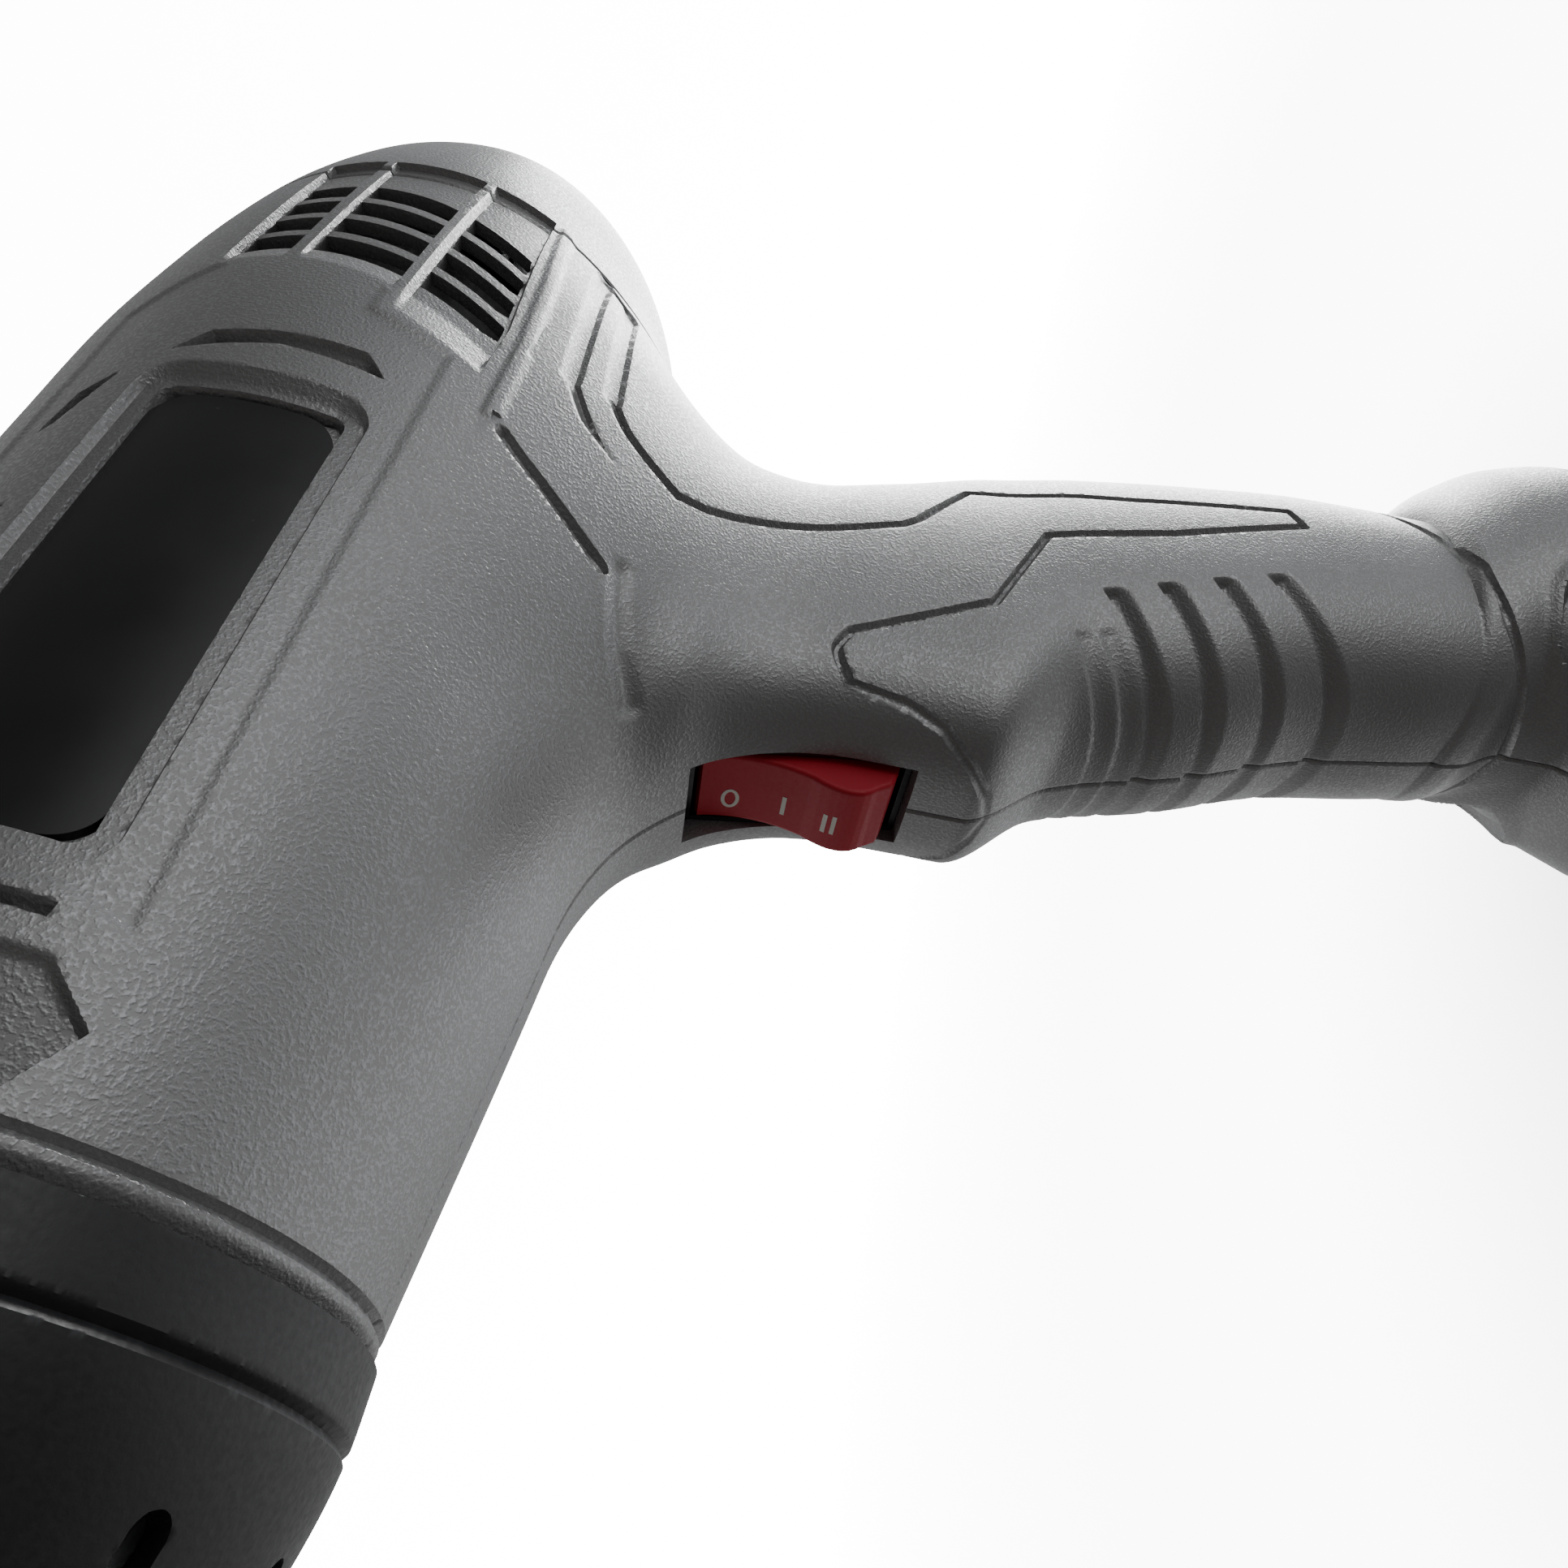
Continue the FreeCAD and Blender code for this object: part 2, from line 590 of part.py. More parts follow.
def make_motor_can():
    """Steel can, open at the commutator end."""
    inner = MOTOR_R - MOTOR_WALL
    floor = MOTOR_START + MOTOR_WALL
    return turned([(MOTOR_START, BUSH_R), (MOTOR_START, MOTOR_R), (MOTOR_END, MOTOR_R),
                   (MOTOR_END, inner), (floor, inner), (floor, BUSH_R)])


def make_magnets():
    """Two arc magnets inside the can."""
    outer = MOTOR_R - MOTOR_WALL
    ring = tube_x(MOTOR_START + 4.0, MOTOR_END - 12.0, outer, outer - MAGNET_THICK)
    gap = block(0, 200, -30, 30, -5.0, 5.0)
    return Part.makeCompound(ring.cut(gap).Solids)


def make_armature():
    """Three-pole armature core."""
    air_gap = 0.6
    core_r = MOTOR_R - MOTOR_WALL - MAGNET_THICK - air_gap
    core = tube_x(MOTOR_START + 6.0, MOTOR_END - 14.0, core_r, SHAFT_R)
    for number in range(3):
        slot = block(0, 200, -1.2, 1.2, 6.0, 20.0)
        slot.rotate(ZERO, X_AXIS, 120.0 * number + 60.0)
        core = core.cut(slot)
    return core


def make_rectifier_board():
    """Round board on the front of the motor."""
    thickness, hole_r = 1.6, 5.6
    rear = MOTOR_END + 2.0
    return tube_x(rear, rear + thickness, MOTOR_R - 2.0, hole_r)


def make_diodes():
    """Four diodes on the board."""
    half_length, diode_r = 3.5, 1.6
    solids = []
    for number in range(4):
        diode = rod_y(-half_length, half_length, diode_r, MOTOR_END + 5.2, 11.0)
        diode.rotate(ZERO, X_AXIS, 90.0 * number + 45.0)
        solids.append(diode)
    return Part.makeCompound(solids)


def make_vanes():
    """Two crossed carriers, slotted half way along so that they interlock."""
    half = TUBE_R - TUBE_WALL - SLEEVE_WALL - 0.2
    half_thick = VANE_THICK / 2
    middle = (VANE_START + VANE_END) / 2
    upright = block(VANE_START, VANE_END, -half_thick, half_thick, -half, half)
    upright = upright.cut(block(middle, VANE_END + 1, -1, 1, -half_thick, half_thick))
    level = block(VANE_START, VANE_END, -half, half, -half_thick, half_thick)
    level = level.cut(block(VANE_START - 1, middle, -half_thick, half_thick, -1, 1))
    return upright, level


def make_ribbons():
    """A folded ribbon in each quarter between the vanes."""
    near, far, pitch = 3.2, 9.2, 4.0
    count = 18
    width = 2.4
    solids = []
    for quarter in range(4):
        top, bottom = [], []
        for number in range(count + 1):
            x = VANE_START + 6.0 + number * pitch
            r = near if number % 2 else far
            top.append(point(x, -width / 2, r))
            bottom.append(point(x, -width / 2, r + 0.6))
        ribbon = extruded(top + bottom[::-1], point(0, width, 0))
        ribbon.translate(point(0, 0, 1.6))
        ribbon.rotate(ZERO, X_AXIS, 90.0 * quarter + 45.0)
        solids.append(ribbon)
    return Part.makeCompound(solids)


def make_end_disc():
    """Perforated ceramic disc at the outlet end of the element."""
    middle_r, hole_r, hole_ring, hole_count = 2.6, 3.3, 10.3, 8
    disc = rod_x(VANE_END, VANE_END + DISC_THICK, TUBE_R - TUBE_WALL - SLEEVE_WALL)
    disc = disc.cut(rod_x(VANE_END - 1, VANE_END + DISC_THICK + 1, middle_r))
    for number in range(hole_count):
        hole = rod_x(VANE_END - 1, VANE_END + DISC_THICK + 1, hole_r, 0.0, hole_ring)
        hole.rotate(ZERO, X_AXIS, 360.0 / hole_count * number)
        disc = disc.cut(hole)
    return disc


# ---- grip contents ----
def make_gland():
    """Gland that lines the cord's way through the foot."""
    lip_bottom = FOOT_BOTTOM - GLAND_LIP
    body = rod_z(lip_bottom, FOOT_BOTTOM + 12.0, GLAND_R - 0.05, GLAND_X, 0)
    lip = rod_z(lip_bottom, FOOT_BOTTOM, GLAND_R + 1.8, GLAND_X, 0)
    return body.fuse(lip).cut(rod_z(FOOT_BOTTOM - 5, FOOT_BOTTOM + 20, CORD_BORE_R, GLAND_X, 0))


def make_cord_clamp():
    """Saddle over the cord above the gland."""
    half_length, half_height = 12.0, 3.5
    middle = FOOT_BOTTOM + CLAMP_SCREW_RISE
    bar = block(GLAND_X - half_length, GLAND_X + half_length, 4.2, 8.2,
                middle - half_height, middle + half_height)
    groove = rod_z(FOOT_BOTTOM + 10, FOOT_BOTTOM + 30, CORD_BORE_R + 1.2, GLAND_X, 0)
    bar = bar.cut(groove)
    for dx in (-CLAMP_SCREW_OFFSET, CLAMP_SCREW_OFFSET):
        bar = bar.cut(rod_y(0, 20, SCREW_R, GLAND_X + dx, middle))
    return bar


def make_clamp_screws():
    """Two screws of the cord clamp."""
    solids = []
    for dx in (-CLAMP_SCREW_OFFSET, CLAMP_SCREW_OFFSET):
        x, z = GLAND_X + dx, FOOT_BOTTOM + CLAMP_SCREW_RISE
        solids.append(rod_y(4.2, 13.0, SCREW_R, x, z).fuse(rod_y(2.4, 4.2, SCREW_HEAD_R, x, z)))
    return Part.makeCompound(solids)


def make_terminal_block():
    """Two-way terminal block in the grip."""
    block_body = block(36.0, 56.0, -5.0, 5.0, -124.0, -112.0)
    for x in (41.0, 51.0):
        block_body = block_body.cut(rod_y(-6, -1, 1.8, x, -118.0))
    return block_body


def make_capacitor():
    """Interference suppression capacitor."""
    return block(40.0, 58.0, -4.0, 4.0, -84.0, -70.0)


def lead(points, radius):
    """Round lead along straight runs with ball corners."""
    pieces = []
    for start, end in zip(points, points[1:]):
        run = end.sub(start)
        pieces.append(Part.makeCylinder(radius, run.Length, start, run))
        pieces.append(Part.makeSphere(radius, end))
    return fused(pieces)


def make_leads():
    """Leads from the terminal block to the switch and on to the motor."""
    up = [point(38, 6.5, -112), point(39, 9.5, -92), point(44, 9.5, -72), point(60, 5.5, -66)]
    live = lead(up, 1.1)
    neutral = lead([point(p.x, -p.y, p.z) for p in up], 1.1)
    return Part.makeCompound([live, neutral])


def main():
    left, right = make_shells()
    save("left_shell", left)
    save("right_shell", right)
    save("shell_screws", make_shell_screws())
    save("rear_cap", make_rear_cap())
    save("cap_screws", make_cap_screws())
    plate = make_nameplate()
    save("left_nameplate", plate)
    save("right_nameplate", mirrored(plate))
    save("front_shroud", make_shroud())
    save("switch_housing", make_switch_housing())
    save("switch_rocker", make_rocker())
    save("rocker_pin", make_rocker_pin())
    save("rocker_plunger", make_plunger())
    save("contact_lever", make_contact_lever())
    save("switch_terminals", make_terminals())
    save("nozzle_tube", make_nozzle_tube())
    save("duct_screws", make_duct_screws())
    save("air_duct", make_duct())
    save("fan_housing", make_fan_housing())
    save("impeller", make_impeller())
    save("motor_shaft", rod_x(SHAFT_REAR, SHAFT_FRONT, SHAFT_R))
    bush_bore = SHAFT_R + RUNNING_FIT
    save("rear_bush", tube_x(MOTOR_START, MOTOR_START + 5.0, BUSH_R, bush_bore))
    save("motor_can", make_motor_can())
    save("motor_magnets", make_magnets())
    save("armature", make_armature())
    save("commutator", tube_x(MOTOR_END - 12.0, MOTOR_END - 4.0, BUSH_R, SHAFT_R))
    save("motor_end_cap", tube_x(MOTOR_END, MOTOR_END + 2.0, MOTOR_R - 0.3, BUSH_R))
    save("front_bush", tube_x(MOTOR_END - 1.0, MOTOR_END + 3.0, BUSH_R, bush_bore))
    save("rectifier_board", make_rectifier_board())
    save("rectifier_diodes", make_diodes())
    sleeve_r = TUBE_R - TUBE_WALL
    save("mica_sleeve", tube_x(VANE_START - 4.0, VANE_END + 5.0, sleeve_r, sleeve_r - SLEEVE_WALL))
    upright, level = make_vanes()
    save("mica_vane_upright", upright)
    save("mica_vane_level", level)
    save("heating_ribbons", make_ribbons())
    save("element_end_disc", make_end_disc())
    save("thermal_cutout", block(VANE_START + 1.0, VANE_START + 5.5, 0.4, 3.4, 3.0, 10.0))
    shield_end = BARREL_END + 22.0
    save("heat_shield", tube_x(TUBE_START + 6.0, shield_end, SHIELD_R, SHIELD_R - 0.4))
    save("insulating_ring", tube_x(shield_end, shield_end + 3.0, 24.0, HIDDEN_TUBE_R))
    save("cord_gland", make_gland())
    save("cord_clamp", make_cord_clamp())
    save("clamp_screws", make_clamp_screws())
    save("terminal_block", make_terminal_block())
    save("suppression_capacitor", make_capacitor())
    save("inner_leads", make_leads())


main()
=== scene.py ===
import json
import math

import bpy
import numpy as np
from mathutils import Matrix, Vector


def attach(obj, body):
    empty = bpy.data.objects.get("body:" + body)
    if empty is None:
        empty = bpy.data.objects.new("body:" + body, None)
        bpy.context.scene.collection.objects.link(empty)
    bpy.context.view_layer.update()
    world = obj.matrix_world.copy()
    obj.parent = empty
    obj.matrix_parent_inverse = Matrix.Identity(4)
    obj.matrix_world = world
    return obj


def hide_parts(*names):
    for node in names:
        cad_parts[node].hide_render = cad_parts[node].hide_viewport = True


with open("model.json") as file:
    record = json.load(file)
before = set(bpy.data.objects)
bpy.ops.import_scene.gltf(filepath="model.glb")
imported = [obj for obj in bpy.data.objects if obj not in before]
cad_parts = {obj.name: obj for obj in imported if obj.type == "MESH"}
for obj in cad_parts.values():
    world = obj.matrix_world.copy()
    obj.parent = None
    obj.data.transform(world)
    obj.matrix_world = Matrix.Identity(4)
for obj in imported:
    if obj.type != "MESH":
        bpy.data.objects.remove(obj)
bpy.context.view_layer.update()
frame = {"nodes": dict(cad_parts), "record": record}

# Lengths below are millimetres in the frame: +X to the nozzle, +Y to the user's left, +Z up.
MM = 0.001

# ---- driving dimensions of the casing, the same as the CAD shells ----
WALL = 2.5
CAP_LENGTH = 32.0
BARREL_END = 154.4
FOOT_BOTTOM = -182.0
FOOT_FLOOR = -178.5
SPLIT_GAP = 0.05           # half of the line between the two shells
CAP_GAP = 0.12             # half of the line between the shells and the rear cap
CELL = 0.4

# Radius of the barrel along X.
BARREL = [(0.0, 28.0), (3.0, 31.5), (15.0, 36.3), (32.0, 39.2), (47.0, 40.1), (60.0, 40.3),
          (81.0, 39.2), (118.0, 36.3), (154.4, 32.7)]
# Grip and foot sections: height, front, rear, half width.
GRIP = [(-20.0, 92.5, 42.5, 17.2), (-43.0, 90.5, 41.0, 17.4), (-50.0, 88.8, 38.5, 17.6),
        (-66.0, 86.4, 31.5, 17.5), (-79.0, 86.4, 25.6, 17.8), (-90.0, 78.6, 23.4, 18.6),
        (-108.0, 72.0, 19.8, 19.0), (-125.0, 64.6, 17.3, 18.8), (-141.0, 60.6, 17.0, 18.4),
        (-150.0, 58.0, 17.0, 18.0)]
FOOT = [(-141.0, 60.8, 14.0, 19.0), (-148.0, 59.2, 6.6, 20.8), (-155.0, 55.6, 2.2, 23.0),
        (-162.0, 55.4, 1.0, 24.8), (-171.0, 60.5, 2.6, 26.0), (-182.0, 67.0, 6.0, 26.5)]
NECK_BLEND = 22.0          # fillet between the barrel and the grip
BARREL_FLAT = 6.4          # how much the barrel's underside is flattened at its rear end
BARREL_FLAT_END = 50.0     # X where the flattening has faded out
BARREL_FLAT_RUN = 30.0
GRIP_ROUND = 2.35          # power of the grip's superellipse sections, 2 being an ellipse
FOOT_ROUND = 2.2
SQUARE_LOW, SQUARE_HIGH = -92.0, -38.0     # heights between which the grip's front is squarer
GRIP_TOP = -15.0
GRIP_END = -146.0
FOOT_TOP = -143.0
FOOT_EDGE = 3.0            # rounding of the foot's lower edge

# Rocker opening in the grip, tilted with the grip's front.
SWITCH_TILT = math.radians(10.1)
SWITCH_CENTRE = (86.5, -59.1)
OPENING_LENGTH = 26.4
OPENING_WIDTH = 13.6

ROCKER_REACH = 12.0
ROCKER_HALF_WIDTH = 5.6
ROCKER_EDGE = 0.5
ROCKER_ARC = ((21.92, 8.995), 21.63)     # centre and radius of the rocker's hollow face
ROCKER_CELL = 0.25
ROCKER_TOP = 11.8
ROCKER_RIDGE = (5.6, -5.2)
ROCKER_PEAK = (6.3, -5.6)
ROCKER_END = (2.4, -12.0)
PIVOT_DEPTH = 3.0
PIVOT_HOLE_R = 1.05

# Fasteners (X, Z and the seat's distance from the middle), gland, rear slots and front collar.
SCREWS = [(142.0, 25.5, 13.5), (142.0, -25.5, 13.5), (50.0, -52.0, 13.5), (50.0, -98.0, 11.5),
          (30.0, -128.0, 11.5)]
WELL_R = 3.4
POST_WALL = 1.2
CAP_POST_WALL = 1.0
CAP_SCREW_Y = 24.0
CAP_SEAT = 3.5
CAP_SLOT_PITCH = 7.0
CAP_SLOT_HALF = 17.0
CAP_SLOT_COUNT = 4
CAP_SLOT_HEIGHT = 1.5      # half of a slot's height
CAP_SLOT_SLANT = 1.3       # rise of a slot over its depth
CAP_SLOT_DEPTH = 9.0
REAR_FACE = 0.03           # the skins' rear face, a hair inside the flat rear plane
BARREL_LOW = -50.0         # below this height the shells run on to the rear, past the cap
GLAND_X = 36.0
GLAND_R = 7.0
SHROUD = [(154.4, 33.4), (158.0, 33.4), (184.0, 26.5), (192.0, 22.5)]
SHROUD_END = 192.0
SHROUD_WALL = 2.2
SHROUD_SLOTS = 12
SHROUD_SLOT_X = 174.0
SHROUD_RING_X = 160.5
SHROUD_EDGE = 3.5          # rounding of the collar's front edge
SPIGOT_R = (29.05, 30.8)   # the collar's spigot inside the shells
SPIGOT_X = (BARREL_END - 6.0, 157.4)
TUBE_R = 17.5
TUBE_WALL = 0.8
TUBE_START = 120.0
TUBE_END = 230.0
FLANGE_R = 24.9

# Side plate recess and the level that surrounds it.
PLATE_MIDDLE = 108.2
PLATE_OUTER_LENGTH = 54.6
PLATE_OUTER_HEIGHT = 22.8
PLATE_CORNER = 4.0
LEVEL_DEPTH = 0.25
LEVEL_BEVEL = 1.2

# Louvre slots, in three bands of Z.
SLOT_BANDS = [(7.1, 13.3), (-5.7, 5.0), (-17.4, -7.7)]
SLOT_PITCH = 5.2
SLOT_GAP = 3.75
SLOT_COUNT = 4
SLOT_FRONT = 56.6
VENT_DEPTH = 0.85
VENT_RAMP = 4.6            # length over which a vent floor slopes down
VENT_WALL = 0.45


def smooth_table(stations, column):
    """A monotone cubic through (position, value) stations, sampled finely."""
    rows = sorted(stations)
    xs = np.array([r[0] for r in rows])
    ys = np.array([r[column] for r in rows])
    h = np.diff(xs)
    s = np.diff(ys) / h
    m = np.zeros_like(ys)
    m[0], m[-1] = s[0], s[-1]
    for i in range(1, len(ys) - 1):
        if s[i - 1] * s[i] > 0:
            m[i] = 2 * s[i - 1] * s[i] / (s[i - 1] + s[i])
    grid = np.linspace(xs[0], xs[-1], 1200)
    k = np.clip(np.searchsorted(xs, grid) - 1, 0, len(h) - 1)
    t = (grid - xs[k]) / h[k]
    value = ((2 * t**3 - 3 * t**2 + 1) * ys[k] + (t**3 - 2 * t**2 + t) * h[k] * m[k]
             + (3 * t**2 - 2 * t**3) * ys[k + 1] + (t**3 - t**2) * h[k] * m[k + 1])
    return grid, value


BARREL_CURVE = smooth_table(BARREL, 1)
GRIP_CURVES = [smooth_table(GRIP, i) for i in (1, 2, 3)]
FOOT_CURVES = [smooth_table(FOOT, i) for i in (1, 2, 3)]
SHROUD_CURVE = smooth_table(SHROUD, 1)


def ease(t):
    t = np.clip(t, 0.0, 1.0)
    return t * t * (3 - 2 * t)


def soft_min(a, b, k):
    h = np.maximum(k - np.abs(a - b), 0.0) / k
    return np.minimum(a, b) - h * h * k / 4


def soft_max(a, b, k):
    return -soft_min(-a, -b, k)


# ---- the smooth casing as a signed distance, negative inside ----
def barrel_distance(x, y, z):
    radius = np.interp(x, *BARREL_CURVE)
    squash = BARREL_FLAT * ease((BARREL_FLAT_END - x) / BARREL_FLAT_RUN)
    low = np.where(z < 0, z * (radius / (radius - squash)), z)
    return np.maximum(np.hypot(y, low) - radius, -x)


def oval_distance(x, y, z, curves, power, front_power):
    """Distance to a stack of superellipses, squarer at the front by front_power."""
    front = np.interp(z, *curves[0])
    rear = np.interp(z, *curves[1])
    half = np.interp(z, *curves[2])
    middle = (front + rear) / 2
    a = (front - rear) / 2
    n = power + front_power * ease((x - middle) / a)
    u = np.abs(x - middle) / a
    v = np.abs(y) / half
    q = np.maximum(u**n + v**n, 1e-9)
    g = q ** (1 / n - 1)
    slope = np.hypot(g * u ** (n - 1) / a, g * v ** (n - 1) / half)
    return (q ** (1 / n) - 1) / np.maximum(slope, 1e-4)


def casing(x, y, z):
    """Signed distance of the casing without its surface detail."""
    square = ease((z - SQUARE_LOW) / 14.0) * ease((SQUARE_HIGH - z) / 8.0)
    grip = oval_distance(x, y, z, GRIP_CURVES, GRIP_ROUND, square) * 0.95
    grip = np.maximum(grip, np.maximum(z - GRIP_TOP, GRIP_END - z))
    body = soft_min(barrel_distance(x, y, z), grip, NECK_BLEND)
    foot = oval_distance(x, y, z, FOOT_CURVES, FOOT_ROUND, 0.0) * 0.9
    foot = soft_max(foot, np.maximum(FOOT_BOTTOM - z, z - FOOT_TOP), FOOT_EDGE)
    return np.minimum(body, foot)


# ---- surface detail seen from the side, as maps over X and Z ----
MAP_STEP = 0.1
MAP_X = (-2.0, 158.0)
MAP_Z = (-186.0, 44.0)


class SideMap:
    """A value over the X-Z plane, looked up bilinearly."""

    def __init__(self, start):
        self.nx = int((MAP_X[1] - MAP_X[0]) / MAP_STEP) + 1
        self.nz = int((MAP_Z[1] - MAP_Z[0]) / MAP_STEP) + 1
        self.data = np.full((self.nx, self.nz), start, np.float32)

    def window(self, points, margin):
        """The part of the map round some points, and its coordinates."""
        xs = [p[0] for p in points]
        zs = [p[1] for p in points]
        i0 = max(int((min(xs) - margin - MAP_X[0]) / MAP_STEP), 0)
        i1 = min(int((max(xs) + margin - MAP_X[0]) / MAP_STEP) + 1, self.nx)
        j0 = max(int((min(zs) - margin - MAP_Z[0]) / MAP_STEP), 0)
        j1 = min(int((max(zs) + margin - MAP_Z[0]) / MAP_STEP) + 1, self.nz)
        px = MAP_X[0] + MAP_STEP * np.arange(i0, i1)[:, None]
        pz = MAP_Z[0] + MAP_STEP * np.arange(j0, j1)[None, :]
        return self.data[i0:i1, j0:j1], px, pz

    def look(self, x, z):
        fx = np.clip((x - MAP_X[0]) / MAP_STEP, 0, self.nx - 1.001)
        fz = np.clip((z - MAP_Z[0]) / MAP_STEP, 0, self.nz - 1.001)
        i = fx.astype(np.int32)
        j = fz.astype(np.int32)
        u = fx - i
        v = fz - j
        d = self.data
        return ((d[i, j] * (1 - v) + d[i, j + 1] * v) * (1 - u)
                + (d[i + 1, j] * (1 - v) + d[i + 1, j + 1] * v) * u)


def segment_distance(px, pz, a, b):
    ex, ez = b[0] - a[0], b[1] - a[1]
    t = np.clip(((px - a[0]) * ex + (pz - a[1]) * ez) / (ex * ex + ez * ez), 0, 1)
    return np.hypot(px - a[0] - ex * t, pz - a[1] - ez * t)


def polygon_distance(px, pz, points):
    """Signed distance to a closed polygon, negative inside."""
    inside = np.zeros(np.broadcast(px, pz).shape, bool)
    nearest = np.full(inside.shape, 1e9)
    for a, b in zip(points, points[1:] + points[:1]):
        nearest = np.minimum(nearest, segment_distance(px, pz, a, b))
        crosses = (a[1] > pz) != (b[1] > pz)
        rise = b[1] - a[1] if b[1] != a[1] else 1e-9
        inside ^= crosses & (px < (b[0] - a[0]) * (pz - a[1]) / rise + a[0])
    return np.where(inside, -nearest, nearest)


def round_rect_distance(px, pz, middle, length, height, corner):
    u = np.abs(px - middle) - length / 2 + corner
    v = np.abs(pz) - height / 2 + corner
    return np.hypot(np.maximum(u, 0), np.maximum(v, 0)) + np.minimum(np.maximum(u, v), 0) - corner


def curve_points(points, steps=8):
    """A Catmull-Rom curve through the points, for rounded runs of a line."""
    out = []
    padded = [points[0]] + points + [points[-1]]
    for a, b, c, d in zip(padded, padded[1:], padded[2:], padded[3:]):
        for k in range(steps):
            t = k / steps
            out.append(tuple(0.5 * (2 * q + (r - p) * t + (2 * p - 5 * q + 4 * r - s) * t * t
                                    + (3 * q - p - 3 * r + s) * t**3)
                             for p, q, r, s in zip(a, b, c, d)))
    return out + [points[-1]]


def cut_line(side_map, points, half, depth, taper):
    """A V groove along a line of points, narrowing towards its far end if taper is given."""
    area, px, pz = side_map.window(points, half + 0.5)
    lengths = [math.dist(a, b) for a, b in zip(points, points[1:])]
    total = sum(lengths)
    done = 0.0
    for (a, b), length in zip(zip(points, points[1:]), lengths):
        share = np.clip((total - done - length / 2) / taper, 0.25, 1.0) if taper else 1.0
        v = 1 - segment_distance(px, pz, a, b) / (half * share)
        np.maximum(area, depth * share * np.clip(v * 1.5, 0, 1), out=area)
        done += length


def slot_front(z):
    """X of the front edge of the first louvre slot: it bows round the barrel."""
    return SLOT_FRONT + 0.0099 * (z - 8.0) ** 2


# Outlines of the side detail, as (X, Z).
LEVEL = [(66.8, -6.0), (69.2, -15.0), (139.0, -15.2), (137.2, -9.6), (139.0, 0.0), (137.2, 12.0),
         (137.0, 21.0), (69.0, 21.0), (63.0, 16.0), (61.0, 13.6), (31.0, 13.6), (31.0, -6.0)]
UPPER_FLOOR = [(29.5, 13.9), (61.6, 13.9), (62.6, 6.6), (29.5, 6.6)]
MIDDLE_FLOOR = [(29.5, 5.5), (63.0, 5.5), (64.2, -6.2), (29.5, -6.2)]
LOWER_FLOOR = [(29.5, -7.2), (66.4, -7.2), (69.4, -17.6), (60.0, -17.9), (29.5, -15.0)]
REAR_SCOOP = [(73.6, -7.9), (77.2, -10.8), (76.7, 0.0), (79.0, 10.7), (75.2, 7.6), (73.9, 0.0)]
FRONT_STEP = [(137.8, -10.2), (139.3, -10.0), (139.6, 10.0), (137.8, 10.2)]
FRONT_SCOOP = [(141.2, -11.4), (145.3, -15.4), (150.2, -12.4), (150.2, 12.4), (145.3, 15.4),
               (141.2, 11.4)]
TOP_SCOOP = [(80.6, 13.2), (89.8, 16.8), (91.4, 18.6), (84.6, 17.4)]
TOP_SCOOP_COUNT = 3
TOP_SCOOP_PITCH = 20.0
RIM = [(74.5, -20.2), (61.4, -20.1), (47.0, -18.9), (28.6, -16.6)]
RIM_HEIGHT = 0.4
# Grooves: half width, depth, taper and points. A smooth groove is a curve through its points.
STRAIGHT_GROOVES = [
    # From the bead towards the neck.
    (0.85, 0.9, 0.0, [(75.5, -21.6), (77.1, -23.8), (79.9, -28.8), (82.7, -33.9)]),
    # Two bevelled angles below the vents.
    (1.25, 0.6, 0.0, [(33.2, -22.3), (48.0, -23.9), (60.6, -25.0)]),
    (0.7, 0.5, 0.0, [(33.2, -22.3), (34.8, -26.2)]),
    (1.2, 0.6, 0.0, [(34.8, -26.2), (48.4, -28.1), (58.7, -29.4)]),
    # The line that runs round the grip.
    (0.7, 0.75, 0.0, [(66.0, -38.9), (65.0, -42.3), (53.9, -66.4), (52.2, -68.2), (42.4, -74.6),
                      (39.0, -97.5), (34.6, -119.4), (38.2, -120.9), (46.3, -102.1),
                      (51.4, -84.9), (65.9, -78.4), (75.2, -61.6)])]
SMOOTH_GROOVES = [
    (0.8, 0.6, 5.0, [(60.6, -25.0), (65.6, -28.0), (68.5, -31.7)]),
    (0.75, 0.8, 0.0, [(58.7, -29.4), (61.8, -31.5), (63.6, -34.0), (66.0, -38.9)]),
    (0.7, 0.75, 0.0, [(75.2, -61.6), (78.0, -60.4), (81.4, -62.4)])]
FOOT_HOLLOW = (46.0, -163.0)
FOOT_HOLLOW_SIZE = (14.0, 17.0, 6.0)       # length along X, height and corner radius


